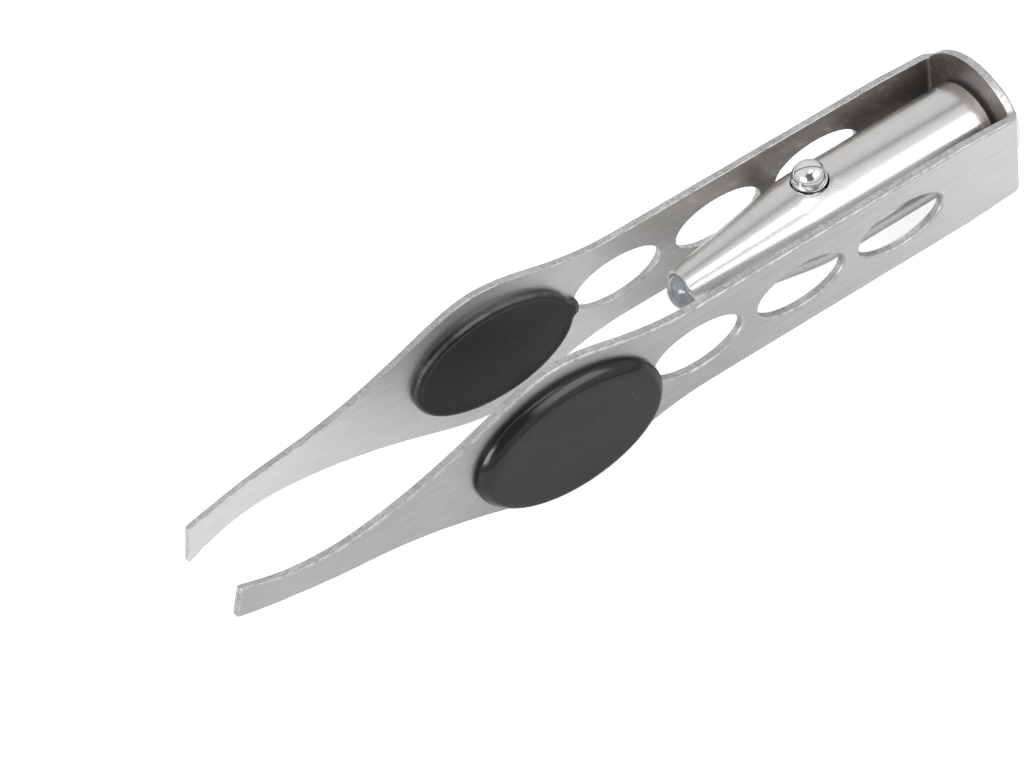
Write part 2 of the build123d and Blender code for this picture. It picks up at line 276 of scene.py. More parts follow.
class Recipe(Graph):
    """Node tree of one finish."""

    def __init__(self, name: str) -> None:
        """Starts a material with one principled shader.

        Args:
            name: Name of the material.
        """
        self.material = bpy.data.materials.new(name)
        self.material.use_nodes = True
        super().__init__(self.material.node_tree)
        self.shader = self.tree.nodes["Principled BSDF"]

    def coordinates(self, space: Space, per_metre: float | Triple, turn: float = 0.0) -> Socket:
        """Coordinates stretched so that one unit is one grain.

        Args:
            space: Object or unrolled coordinates, both in metres.
            per_metre: Grains per metre, one count or one for each axis.
            turn: Angle of the grain about the third axis, in radians.

        Returns:
            The stretched vector.
        """
        turned = self.node("ShaderNodeMapping")
        turned.inputs["Rotation"].default_value = (0, 0, turn)
        self.feed(turned.inputs["Vector"], self.node("ShaderNodeTexCoord").outputs[space.value])
        stretched = self.node("ShaderNodeMapping")
        scale = per_metre if isinstance(per_metre, tuple) else (per_metre,) * 3
        stretched.inputs["Scale"].default_value = scale
        self.feed(stretched.inputs["Vector"], turned.outputs["Vector"])
        return stretched.outputs["Vector"]

    def noise(
        self,
        space: Space,
        per_metre: float | Triple,
        detail: float = 3.0,
        rough: float = 0.55,
        turn: float = 0.0,
    ) -> Socket:
        """Cloudy noise with one blob per grain.

        Args:
            space: Coordinates that the grain is laid out in.
            per_metre: Grains per metre, one count or one for each axis.
            detail: Count of finer layers.
            rough: Strength of each finer layer.
            turn: Angle of the grain, in radians.

        Returns:
            The noise, which stays mostly inside NOISE_LIMITS.
        """
        made = self.node("ShaderNodeTexNoise")
        made.inputs["Scale"].default_value = 1.0
        made.inputs["Detail"].default_value = detail
        made.inputs["Roughness"].default_value = rough
        self.feed(made.inputs["Vector"], self.coordinates(space, per_metre, turn))
        return made.outputs["Fac"]

    def specks(self, per_metre: float, size: float) -> Socket:
        """Small round specks, 1 inside a speck and 0 outside.

        Args:
            per_metre: Specks per metre.
            size: Radius of a speck, as a share of their distance.

        Returns:
            The mask.
        """
        cells = self.node("ShaderNodeTexVoronoi")
        cells.inputs["Scale"].default_value = 1.0
        self.feed(cells.inputs["Vector"], self.coordinates(Space.OBJECT, per_metre))
        return self.span(cells.outputs["Distance"], (size, 0.0), (size / 2, 1.0), "SMOOTHSTEP")

    def blend(self, share: Socket, first: object, second: object) -> Socket:
        """Mixes two colours.

        Args:
            share: Share of the second colour.
            first: Colour or socket at share 0.
            second: Colour or socket at share 1.

        Returns:
            The mixed colour.
        """
        made = self.node("ShaderNodeMix", data_type="RGBA")
        self.feed(made.inputs["Factor"], share)
        for key, colour in (("A", first), ("B", second)):
            socket = next(s for s in made.inputs if s.name == key and s.type == "RGBA")
            self.feed(socket, (*colour, 1.0) if isinstance(colour, tuple) else colour)
        return next(s for s in made.outputs if s.type == "RGBA")

    def tones(
        self, value: Socket, dark: Colour, light: Colour, limits: Flat = NOISE_LIMITS
    ) -> Socket:
        """Colour that goes from dark to light with a noise.

        Args:
            value: The noise.
            dark: Colour at its lower limit.
            light: Colour at its upper limit.
            limits: The limits.

        Returns:
            The colour.
        """
        return self.blend(self.span(value, (limits[0], 0.0), (limits[1], 1.0)), dark, light)

    def gloss(self, value: Socket, roughness: Flat, limits: Flat = NOISE_LIMITS) -> Socket:
        """Roughness that falls as a noise rises.

        Args:
            value: The noise.
            roughness: Least and greatest roughness.
            limits: Limits of the noise.

        Returns:
            The roughness.
        """
        return self.span(value, (limits[0], roughness[1]), (limits[1], roughness[0]))

    def along_strip(self, change: Flat) -> Socket:
        """Share that goes evenly from 0 to 1 along the strip.

        Args:
            change: The two places along the unrolled strip, in metres.

        Returns:
            The share.
        """
        source = self.node("ShaderNodeTexCoord").outputs[Space.UNROLLED.value]
        return self.span(self.axis(source, "X"), (change[0], 0.0), (change[1], 1.0))

    def relief(self, height: Socket, depth: float, strength: float = 1.0) -> None:
        """Gives the surface a fine relief.

        Args:
            height: Height from 0 to 1.
            depth: Depth of the relief in metres.
            strength: How much of it shows.
        """
        bump = self.node("ShaderNodeBump")
        bump.inputs["Strength"].default_value = strength
        bump.inputs["Distance"].default_value = depth
        self.feed(bump.inputs["Height"], height)
        self.feed(self.shader.inputs["Normal"], bump.outputs["Normal"])

    def set(self, **values: object) -> None:
        """Sets or links inputs of the shader.

        Args:
            **values: Values or sockets, with underscores for the spaces in the inputs' names.
        """
        for key, value in values.items():
            socket = self.shader.inputs[key.replace("_", " ")]
            self.feed(socket, (*value, 1.0) if isinstance(value, tuple) else value)


# ------------------------------------------------------------------------------------ finishes


@dataclass(frozen=True)
class BrushedSteel:
    """Flat face of the steel strip, ground along its length, with painted light and shade: a tone
    of its own at each end, blended along the strip.
    """

    name: str = "brushed_steel"
    # Rear and front tones: their difference is painted light and shade along the strip, not a
    # change of steel.
    rear_light: Colour = (0.77, 0.77, 0.77)
    rear_dark: Colour = (0.65, 0.65, 0.65)
    front_light: Colour = (0.54, 0.535, 0.53)
    front_dark: Colour = (0.42, 0.415, 0.41)
    change: Flat = (0.004, -0.036)
    line_width: float = 0.00012
    line_length: float = 0.004
    line_share: float = 0.5
    slant: float = 0.10
    streaks: Triple = (30.0, 1800.0, 1.0)
    streak_share: float = 0.25
    clouds: Triple = (90.0, 160.0, 1.0)
    cloud_share: float = 0.25
    scuffs: float = 0.0
    scuff_grain: Triple = (420.0, 900.0, 1.0)
    scuff_slant: float = 0.5
    scuff_limits: Flat = (0.52, 0.66)
    roughness: Flat = (0.34, 0.48)
    depth: float = 0.000006

    def make(self) -> bpy.types.Material:
        """Builds the material.

        Returns:
            The material.
        """
        recipe = Recipe(self.name)
        sheet = Space.UNROLLED
        strokes = (1 / self.line_length, 1 / self.line_width, 1.0)
        lines = recipe.noise(sheet, strokes, detail=4.0, rough=0.7, turn=self.slant)
        streaks = recipe.noise(sheet, self.streaks, detail=2.0, turn=-self.slant / 3)
        clouds = recipe.noise(sheet, self.clouds)
        tone = recipe.weighted(
            (lines, self.line_share), (streaks, self.streak_share), (clouds, self.cloud_share)
        )
        rear = recipe.tones(tone, self.rear_dark, self.rear_light)
        front = recipe.tones(tone, self.front_dark, self.front_light)
        # Painted light and shade: the colour goes from the rear tones to the front ones along the
        # strip.
        colour = recipe.blend(recipe.along_strip(self.change), rear, front)
        if self.scuffs:
            slant = self.scuff_slant
            patches = recipe.noise(sheet, self.scuff_grain, detail=6.0, rough=0.8, turn=slant)
            low, high = self.scuff_limits
            rubbed = recipe.span(patches, (low, 0.0), (high, self.scuffs))
            colour = recipe.blend(rubbed, colour, self.front_light)
        roughness = recipe.gloss(tone, self.roughness)
        recipe.set(Base_Color=colour, Metallic=1.0, Roughness=roughness)
        recipe.relief(lines, self.depth)
        return recipe.material


@dataclass(frozen=True)
class TumbledEdge:
    """Rounded edge of the strip, bright from handling, with small nicks."""

    name: str = "tumbled_edge"
    bright: Colour = (0.72, 0.715, 0.71)
    dull: Colour = (0.44, 0.435, 0.43)
    roughness: Flat = (0.28, 0.50)
    nick: float = 0.0009
    tone_limits: Flat = (0.38, 0.56)
    gloss_limits: Flat = (0.35, 0.6)
    depth: float = 0.00002

    def make(self) -> bpy.types.Material:
        """Builds the material.

        Returns:
            The material.
        """
        recipe = Recipe(self.name)
        nicks = recipe.noise(Space.OBJECT, 1 / self.nick, detail=5.0, rough=0.7)
        recipe.set(
            Base_Color=recipe.tones(nicks, self.dull, self.bright, self.tone_limits),
            Metallic=1.0,
            Roughness=recipe.gloss(nicks, self.roughness, self.gloss_limits),
        )
        recipe.relief(nicks, self.depth)
        return recipe.material


@dataclass(frozen=True)
class ShearedWall:
    """Cut wall of the sheet: fine strokes across it, with bright sparks where the metal broke."""

    name: str = "sheared_wall"
    dark: Colour = (0.44, 0.435, 0.43)
    light: Colour = (0.76, 0.755, 0.75)
    bright: Colour = (0.96, 0.955, 0.95)
    stroke: float = 0.00022
    grain: float = 0.00030
    grain_share: float = 0.35
    patches: float = 400.0
    patch_share: float = 0.25
    sparks: float = 2600.0
    spark_size: float = 0.10
    tone_limits: Flat = (0.38, 0.60)
    roughness: Flat = (0.32, 0.55)
    depth: float = 0.00002

    def make(self) -> bpy.types.Material:
        """Builds the material.

        Returns:
            The material.
        """
        recipe = Recipe(self.name)
        strokes = recipe.noise(Space.UNROLLED, 1 / self.stroke, rough=0.7)
        grains = recipe.noise(Space.OBJECT, 1 / self.grain, detail=4.0, rough=0.75)
        patches = recipe.noise(Space.OBJECT, self.patches)
        stroke_share = 1 - self.patch_share - self.grain_share
        fine = recipe.weighted((strokes, stroke_share), (grains, self.grain_share))
        tone = recipe.combine("ADD", fine, recipe.weighted((patches, self.patch_share)))
        colour = recipe.tones(tone, self.dark, self.light, self.tone_limits)
        sparks = recipe.specks(self.sparks, self.spark_size)
        recipe.set(
            Base_Color=recipe.blend(sparks, colour, self.bright),
            Metallic=1.0,
            Roughness=recipe.gloss(tone, self.roughness),
        )
        recipe.relief(fine, self.depth)
        return recipe.material


@dataclass(frozen=True)
class GripRubber:
    """Black satin rubber with a fine grain and a little dust."""

    name: str = "grip_rubber"
    dark: Colour = (0.005, 0.005, 0.005)
    light: Colour = (0.011, 0.011, 0.011)
    roughness: Flat = (0.12, 0.19)
    specular: float = 0.55
    lump: float = 0.00011
    lump_depth: float = 0.000008
    lump_strength: float = 0.6
    clouds: float = 260.0
    dust: Colour = (0.30, 0.30, 0.29)
    dust_share: float = 0.35
    dust_specks: float = 1500.0
    dust_size: float = 0.10

    def make(self) -> bpy.types.Material:
        """Builds the material.

        Returns:
            The material.
        """
        recipe = Recipe(self.name)
        grain = recipe.noise(Space.OBJECT, 1 / self.lump, detail=2.0)
        clouds = recipe.noise(Space.OBJECT, self.clouds, detail=4.0)
        specks = recipe.specks(self.dust_specks, self.dust_size)
        dusty = recipe.combine("MULTIPLY", specks, self.dust_share)
        recipe.set(
            Base_Color=recipe.blend(dusty, recipe.tones(clouds, self.dark, self.light), self.dust),
            Roughness=recipe.gloss(clouds, self.roughness),
            Specular_IOR_Level=self.specular,
        )
        recipe.relief(grain, self.lump_depth, self.lump_strength)
        return recipe.material


@dataclass(frozen=True)
class SatinMetal:
    """Turned metal with fine scratches along or round its axis."""

    name: str
    light: Colour
    dark: Colour
    along: float
    across: float
    roughness: Flat
    depth: float = 0.000004
    line_share: float = 0.6
    cloud_share: float = 0.4
    cloud_stretch: float = 2.0
    clouds_across: float = 300.0

    def make(self) -> bpy.types.Material:
        """Builds the material.

        Returns:
            The material.
        """
        recipe = Recipe(self.name)
        scratches = (self.along, self.across, self.across)
        lines = recipe.noise(Space.OBJECT, scratches, detail=4.0, rough=0.65)
        spread = (self.along * self.cloud_stretch, self.clouds_across, self.clouds_across)
        clouds = recipe.noise(Space.OBJECT, spread)
        tone = recipe.weighted((lines, self.line_share), (clouds, self.cloud_share))
        recipe.set(
            Base_Color=recipe.tones(tone, self.dark, self.light),
            Metallic=1.0,
            Roughness=recipe.gloss(tone, self.roughness),
        )
        recipe.relief(lines, self.depth)
        return recipe.material


@dataclass(frozen=True)
class ClearResin:
    """Clear resin of the lamp, with faint flow lines."""

    name: str = "clear_resin"
    deep: Colour = (0.70, 0.78, 0.86)
    pale: Colour = (0.84, 0.90, 0.96)
    lines: float = 900.0
    line_limits: Flat = (0.3, 0.7)
    roughness: Flat = (0.02, 0.06)
    refraction: float = 1.53
    transmission: float = 0.7
    depth: float = 0.000004
    depth_strength: float = 0.3

    def make(self) -> bpy.types.Material:
        """Builds the material.

        Returns:
            The material.
        """
        recipe = Recipe(self.name)
        flow = recipe.noise(Space.OBJECT, self.lines, detail=2.0)
        (low, high), (smooth, matt) = self.line_limits, self.roughness
        recipe.set(
            Base_Color=recipe.blend(flow, self.deep, self.pale),
            Roughness=recipe.span(flow, (low, smooth), (high, matt)),
            IOR=self.refraction,
            Transmission_Weight=self.transmission,
            Coat_Weight=1.0,
            Coat_Roughness=smooth,
        )
        recipe.relief(flow, self.depth, self.depth_strength)
        return recipe.material


@dataclass(frozen=True)
class Moulded:
    """Finish of a small inner piece: two tones of one colour with a grain of its own scale."""

    name: str
    dark: Colour
    light: Colour
    roughness: Flat
    per_metre: float | Triple
    metallic: float = 0.0
    transmission: float = 0.0
    depth: float = 0.00001
    depth_strength: float = 0.5

    def make(self) -> bpy.types.Material:
        """Builds the material.

        Returns:
            The material.
        """
        recipe = Recipe(self.name)
        grain = recipe.noise(Space.OBJECT, self.per_metre, detail=4.0)
        recipe.set(
            Base_Color=recipe.tones(grain, self.dark, self.light),
            Metallic=self.metallic,
            Roughness=recipe.gloss(grain, self.roughness),
            Transmission_Weight=self.transmission,
        )
        recipe.relief(grain, self.depth, self.depth_strength)
        return recipe.material


@dataclass(frozen=True)
class Plated(Moulded):
    """Finish of a small metal piece, made in the same way."""

    metallic: float = 1.0


Finish = BrushedSteel | TumbledEdge | ShearedWall | GripRubber | SatinMetal | ClearResin | Moulded


@dataclass
class FinishRack:
    """Every finish of the part, each made once and handed out by name."""

    made: dict[str, bpy.types.Material] = field(default_factory=dict)

    @staticmethod
    def steel() -> list[Finish]:
        """Lists the finishes of the strip.

        Returns:
            The finishes.
        """
        # Inner faces: the dark rear tones are painted shade near the end plate, where the face
        # mirrors the barrel's shaded side.
        inner = BrushedSteel(
            "inner_steel_painted_shade",
            rear_light=(0.44, 0.42, 0.405),
            rear_dark=(0.29, 0.275, 0.265),
            front_light=(0.86, 0.85, 0.84),
            front_dark=(0.74, 0.73, 0.72),
            change=(-0.018, -0.042),
            scuffs=0.45,
            roughness=(0.34, 0.50),
        )
        # Copy for the right arm, painted lighter where the barrel mirrors it: painted reflection,
        # with a shorter stretch of painted shade.
        lit_inner = replace(
            inner,
            name="inner_steel_painted_light",
            front_light=(0.74, 0.735, 0.73),
            front_dark=(0.62, 0.615, 0.61),
            change=(0.0, -0.007),
        )
        rolled = TumbledEdge("rolled_edge", (0.60, 0.595, 0.59), (0.42, 0.415, 0.41), (0.42, 0.60))
        torn = ShearedWall(
            "torn_wall", (0.40, 0.395, 0.385), (0.80, 0.795, 0.785), grain_share=0.6, spark_size=0.2
        )
        return [BrushedSteel(), inner, lit_inner, TumbledEdge(), rolled, ShearedWall(), torn]

    @staticmethod
    def grips_and_torch() -> list[Finish]:
        """Lists the finishes of the grips and of what shows of the torch.

        Returns:
            The finishes.
        """
        return [
            GripRubber(),
            # Rounded rim of the inner pad: worn rubber whose lighter tone is also a painted
            # highlight along the rim.
            GripRubber(
                "worn_rim_painted_highlight",
                (0.012,) * 3,
                (0.10,) * 3,
                (0.12, 0.26),
                lump=0.00030,
                lump_depth=0.00016,
            ),
            SatinMetal(
                "barrel_satin",
                (0.81, 0.80, 0.79),
                (0.72, 0.71, 0.70),
                along=60.0,
                across=5200.0,
                roughness=(0.21, 0.31),
            ),
            SatinMetal(
                "cap_satin",
                (0.97, 0.965, 0.96),
                (0.91, 0.905, 0.90),
                along=2500.0,
                across=900.0,
                roughness=(0.24, 0.34),
            ),
            SatinMetal(
                "button_chrome",
                (0.90, 0.90, 0.90),
                (0.86, 0.86, 0.87),
                along=400.0,
                across=400.0,
                roughness=(0.03, 0.07),
                depth=0.000001,
            ),
            ClearResin(),
        ]

    @staticmethod
    def inner_pieces() -> list[Finish]:
        """Lists the finishes of the pieces inside the torch.

        Returns:
            The finishes.
        """
        brushed = (300.0, 3000.0, 3000.0)
        stamped = (400.0, 4000.0, 4000.0)
        drawn = (500.0, 5000.0, 5000.0)
        woven = (4200.0, 4200.0, 300.0)
        return [
            Moulded("seal_rubber", (0.015,) * 3, (0.03,) * 3, (0.5, 0.65), 4000.0),
            Plated("spring_wire", (0.62, 0.60, 0.55), (0.74, 0.72, 0.68), (0.2, 0.35), 2500.0),
            Plated("cell_steel", (0.68, 0.68, 0.67), (0.78, 0.78, 0.77), (0.16, 0.3), 1200.0),
            Moulded(
                "sleeve_film",
                (0.75, 0.76, 0.74),
                (0.85, 0.86, 0.84),
                (0.25, 0.4),
                700.0,
                transmission=0.5,
            ),
            Plated("contact_brass", (0.66, 0.47, 0.20), (0.80, 0.60, 0.30), (0.22, 0.4), brushed),
            Moulded("carrier_nylon", (0.66, 0.65, 0.60), (0.76, 0.75, 0.70), (0.45, 0.6), 2200.0),
            Moulded("board_laminate", (0.03, 0.16, 0.06), (0.05, 0.24, 0.09), (0.3, 0.45), woven),
            Moulded("switch_plastic", (0.02,) * 3, (0.045,) * 3, (0.4, 0.55), 2600.0),
            Plated("switch_metal", (0.66, 0.66, 0.65), (0.78, 0.78, 0.77), (0.22, 0.36), stamped),
            Moulded("plunger_plastic", (0.025,) * 3, (0.05,) * 3, (0.35, 0.5), 3000.0),
            Plated("tinned_lead", (0.68, 0.68, 0.67), (0.82, 0.82, 0.80), (0.18, 0.34), drawn),
            Moulded("phosphor", (0.85, 0.70, 0.12), (0.95, 0.82, 0.25), (0.5, 0.7), 9000.0),
        ]

    def fill(self) -> None:
        """Makes every finish, the visible ones first."""
        for finish in self.steel() + self.grips_and_torch() + self.inner_pieces():
            self.made[finish.name] = finish.make()
            LOG.info("finish %s", finish.name)

    def take(self, name: str) -> bpy.types.Material:
        """Hands out one finish."""
        return self.made[name]


# ------------------------------------------------------------------------------------ mesh making


class Skin:
    """A mesh under construction, made of rings of points joined by strips of faces."""

    def __init__(self, name: str) -> None:
        """Starts an empty mesh.

        Args:
            name: Name of the piece.
        """
        self.name = name
        self.mesh = bmesh.new()

    def ring(self, points: Sequence[Vector]) -> Ring:
        """Adds a row of points."""
        return [self.mesh.verts.new(point) for point in points]

    def join(self, first: Ring, second: Ring, finish: int = 0, closed: bool = True) -> None:
        """Joins two rings of the same count by a strip of quads.

        Args:
            first: One ring.
            second: The other ring.
            finish: Index of the strip's finish.
            closed: Whether the rings run all the way round.
        """
        count = len(first)
        for index in range(count if closed else count - 1):
            after = (index + 1) % count
            face = self.mesh.faces.new((first[index], first[after], second[after], second[index]))
            face.material_index = finish

    def join_all(self, rings: Sequence[Ring]) -> None:
        """Joins each closed ring to the next one."""
        for first, second in zip(rings, rings[1:]):
            self.join(first, second)

    def cap(self, ring: Ring, point: Vector) -> None:
        """Closes a ring with triangles to one point.

        Args:
            ring: The ring.
            point: The point.
        """
        tip = self.mesh.verts.new(point)
        for index, start in enumerate(ring):
            self.mesh.faces.new((start, ring[(index + 1) % len(ring)], tip))

    def loft(self, rows: Sequence[Sequence[Vector]]) -> None:
        """Joins rows of points one after the other.

        Args:
            rows: Rows with the same count of points. A single point as the first or the last row
                closes that end.
        """
        rings = [self.ring(row) for row in rows if len(row) > 1]
        self.join_all(rings)
        if len(rows[0]) == 1:
            self.cap(rings[0], rows[0][0])
        if len(rows[-1]) == 1:
            self.cap(rings[-1], rows[-1][0])

    def turn_faces(self, aims: Sequence[Vector] | None) -> None:
        """Turns the faces out of the piece.

        Args:
            aims: Directions out of the piece at its points, where they are known.
        """
        if aims is None:
            bmesh.ops.recalc_face_normals(self.mesh, faces=self.mesh.faces[:])
            return
        self.mesh.verts.index_update()
        for face in self.mesh.faces:
            face.normal_update()
            if face.normal.dot(sum((aims[vert.index] for vert in face.verts), Vector())) < 0:
                face.normal_flip()

    def object(
        self,
        materials: Sequence[bpy.types.Material],
        angle: float = SMOOTH_ANGLE,
        aims: Sequence[Vector] | None = None,
    ) -> bpy.types.Object:
        """Turns the skin into an object with smooth faces and sharp corners.

        Args:
            materials: Finishes in the order of their indices.
            angle: Angle from which an edge stays sharp, in radians.
            aims: Directions out of the piece at its points, where they are known.

        Returns:
            The object.
        """
        self.turn_faces(aims)
        data = bpy.data.meshes.new(self.name)
        self.mesh.to_mesh(data)
        self.mesh.free()
        for polygon in data.polygons:
            polygon.use_smooth = True
        data.set_sharp_from_angle(angle=angle)
        for material in materials:
            data.materials.append(material)
        return add_to_scene(self.name, data)


def quarter(steps: int) -> list[float]:
    """Angles of a quarter turn in equal steps, ends included."""
    return [QUARTER_TURN * step / steps for step in range(steps + 1)]


def full_turn(steps: int) -> list[float]:
    """Angles of a full turn in equal steps, the last one left out."""
    return [2 * math.pi * step / steps for step in range(steps)]


def slid(point: Flat, along: float) -> Flat:
    """A point moved along its first axis."""
    return point[0] + along, point[1]


def bezier(points: Sequence[Flat], steps: int) -> list[Flat]:
    """Points on a Bezier curve.

    Args:
        points: Control points, three or four.
        steps: Count of steps along the curve.

    Returns:
        The points, both ends included.
    """
    degree = len(points) - 1
    made = []
    for step in range(steps + 1):
        share = step / steps
        weights = [
            math.comb(degree, k) * share**k * (1 - share) ** (degree - k) for k in range(degree + 1)
        ]
        made.append(tuple(sum(w * p[axis] for w, p in zip(weights, points)) for axis in (0, 1)))
    return made


def rounded_corner(before: Flat, corner: Flat, after: Flat, radius: float) -> list[Flat]:
    """Points of an arc that rounds a corner, in four steps.

    Args:
        before: A point on the line into the corner.
        corner: The corner.
        after: A point on the line out of it.
        radius: Radius of the arc.

    Returns:
        The points of the arc, both ends included.
    """
    steps = 4
    middle = Vector(corner)
    into = (Vector(before) - middle).normalized()
    out = (Vector(after) - middle).normalized()
    half = into.angle(out) / 2
    centre = middle + (into + out).normalized() * (radius / math.sin(half))
    reach = radius / math.tan(half)
    start = middle + into * reach - centre
    turn = start.angle_signed(middle + out * reach - centre)
    turned = [Matrix.Rotation(-turn * step / steps, 2) @ start for step in range(steps + 1)]
    return [tuple(centre + spoke) for spoke in turned]


# ------------------------------------------------------------------------------------ steel strip


class Band(IntEnum):
    """Finishes of the strip, by their places in its list of materials."""

    OUTER_FACE = 0
    INNER_EDGE = 1
    SHEARED_WALL = 2
    TORN_WALL = 3
    INNER_FACE = 4
    OUTER_EDGE = 5


class EdgeRow(NamedTuple):
    """One row of points along an edge of the sheet, and the finish of the faces that follow it.

    Inset and depth give its place. Sideways and outward are the shares of two directions in the
    normal there, out of the cut wall and out of the outer face.
    """

    inset: float
    depth: float
    sideways: float
    outward: float
    band: Band


@dataclass
class SteelStrip:
    """The bent strip: both arms, both bends and the round end plate, as two mirrored halves."""

    thickness: float = 0.9
    half_spacing: float = 6.85
    arm_length: float = 87.4
    arm_half_width: float = 4.9
    rear_taper_length: float = 5.5
    bulge_start: float = 36.8
    bulge_position: float = 53.0
    bulge_half_width: float = 7.5
    bulge_start_handle: float = 8.2
    bulge_rear_handle: float = 5.3
    bulge_front_handle: float = 5.8
    neck_position: float = 81.8
    neck_half_width: float = 1.45
    neck_rear_handle: float = 16.2
    neck_front_handle: float = 1.5
    tip_half_width: float = 1.78
    tip_slant: float = 1.1
    tip_corner_radius: float = 0.3
    tip_bend_start: float = 75.0
    tip_bend_radius: float = 34.0
    tip_thickness: float = 0.6
    window_centres: tuple[float, ...] = (13.8, 25.8, 37.8)
    window_half_length: float = 5.05
    window_half_height: float = 2.4
    grip_position: float = 52.8
    grip_window_half_length: float = 7.8
    grip_window_half_height: float = 4.2
    plate_radius: float = 7.5
    plate_hole_radius: float = 4.28
    plate_corner_radius: float = 1.5
    bend_outer_radius: float = 1.3
    bend_half_height: float = 4.6
    outer_rounding: float = 0.24
    inner_rounding: float = 0.07
    shear_share: float = 0.45
    flex_start: float = 0.4
    flex_length: float = 6.0
    map_spacing: float = 40.0
    cut_tolerance: float = 0.00001

    rise_steps: int = 28
    fall_steps: int = 36
    flare_steps: int = 12
    disc_steps: int = 40
    disc_corner_steps: int = 8
    hole_steps: int = 48
    window_steps: int = 72
    outer_rounding_steps: int = 5
    inner_rounding_steps: int = 2
    bend_cuts: int = 12
    flex_cuts: int = 8
    tip_cuts: int = 18

    @property
    def bend_length(self) -> float:
        """Length of a bend along its outer face."""
        return self.bend_outer_radius * math.pi / 2

    @property
    def bend_centre(self) -> float:
        """Distance of a bend's axis from the middle plane."""
        return self.half_spacing - self.bend_outer_radius

    @property
    def plate_centre(self) -> float:
        """Unrolled place of the middle of the end plate."""
        return self.bend_length + self.bend_centre

    @property
    def tip_inner_radius(self) -> float:
        """Radius of the inner face of the bent tip, which is ground thinner towards its end.

        Returns:
            The radius of the arc that leaves tip_thickness at the end.
        """
        length = self.arm_length - self.tip_bend_start
        drop = self.tip_bend_radius - math.sqrt(self.tip_bend_radius**2 - length**2)
        inner_drop = drop - self.thickness + self.tip_thickness
        return (length**2 + inner_drop**2) / (2 * inner_drop)

    def unrolled(self, across: float) -> float:
        """Unrolled place of a point of the end plate's outer face.

        Args:
            across: Its distance from the middle plane.

        Returns:
            Its distance along the sheet from the end of the arm.
        """
        if across <= self.bend_centre:
            return self.plate_centre - across
        share = (across - self.bend_centre) / self.bend_outer_radius
        return self.bend_outer_radius * math.acos(min(1.0, share))

    def fold_tip(self, along: float, depth: float) -> tuple[Vector, Vector, Vector]:
        """Bends a point of the tip inwards, between two arcs that come nearer to each other.

        Args:
            along: Unrolled place along the strip.
            depth: Depth below the outer face.

        Returns:
            The place, the direction along the strip and the direction out of its outer face.
        """
        reach = along + self.tip_bend_start
        share = depth / self.thickness
        spots = []
        for face, radius in (
            (self.half_spacing, self.tip_bend_radius),
            (self.half_spacing - self.thickness, self.tip_inner_radius),
        ):
            rise = math.sqrt(radius**2 - reach**2)
            spots.append((face - radius + rise, Vector((reach, rise)) / radius))
        (outer, out_outer), (inner, out_inner) = spots
        out = out_outer.lerp(out_inner, share).normalized()
        return Vector((along, outer + (inner - outer) * share)), Vector((out.y, -out.x)), out

    def fold(self, along: float, depth: float) -> tuple[Vector, Vector, Vector]:
        """Bends the unrolled strip into shape, seen from above.

        Args:
            along: Unrolled place along the strip.
            depth: Depth below the outer face.

        Returns:
            The place, the direction along the strip and the direction out of its outer face, each
            as (x, y).
        """
        if along <= -self.tip_bend_start:
            return self.fold_tip(along, depth)
        if along <= 0:
            return Vector((along, self.half_spacing - depth)), Vector((1, 0)), Vector((0, 1))
        if along < self.bend_length:
            angle = along / self.bend_outer_radius
            out = Vector((math.sin(angle), math.cos(angle)))
            centre = Vector((0, self.bend_centre))
            return centre + out * (self.bend_outer_radius - depth), Vector((out.y, -out.x)), out
        across = self.bend_centre - (along - self.bend_length)
        return Vector((self.bend_outer_radius - depth, across)), Vector((0, -1)), Vector((1, 0))

    def plate_edge(self) -> list[Flat]:
        """Upper edge of half the end plate: the disc's arc, faired into the edge of the bend.

        Returns:
            The unrolled points, from the plate's middle to the bend.
        """
        disc, corner = self.plate_radius, self.plate_corner_radius
        height = self.bend_half_height + corner
        across = math.sqrt((disc + corner) ** 2 - height**2)
        meeting = math.atan2(across, height)
        steps, corner_steps = self.disc_steps, self.disc_corner_steps
        seen = []
        for angle in (meeting * step / steps for step in range(steps)):
            seen.append((disc * math.sin(angle), disc * math.cos(angle)))
        for angle in (meeting * (1 - step / corner_steps) for step in range(corner_steps + 1)):
            seen.append((across - corner * math.sin(angle), height - corner * math.cos(angle)))
        return [(self.unrolled(y), z) for y, z in seen]

    def side_edge(self, side: int, reach: float) -> list[Flat]:
        """Edge of an arm from the bend to the tip.

        Args:
            side: 1 for the upper edge, -1 for the lower one.
            reach: How far the edge reaches towards the tip.

        Returns:
            The points from the bend to the tip's corner, which is left out.
        """
        foot = (0.0, side * self.bend_half_height)
        shoulder = (-self.rear_taper_length, side * self.arm_half_width)
        swell = (-self.bulge_start, side * self.arm_half_width)
        crest = (-self.bulge_position, side * self.bulge_half_width)
        neck = (-self.neck_position, side * self.neck_half_width)
        tip = (-reach, side * self.tip_half_width)
        after_swell = slid(swell, -self.bulge_start_handle)
        before_crest = slid(crest, self.bulge_rear_handle)
        after_crest = slid(crest, -self.bulge_front_handle)
        before_neck = slid(neck, self.neck_rear_handle)
        after_neck = slid(neck, -self.neck_front_handle)
        rise = bezier([swell, after_swell, before_crest, crest], self.rise_steps)
        fall = bezier([crest, after_crest, before_neck, neck], self.fall_steps)
        flare = bezier([neck, after_neck, tip], self.flare_steps)
        return [foot, shoulder, *rise, *fall[1:], *flare[1:-1]]

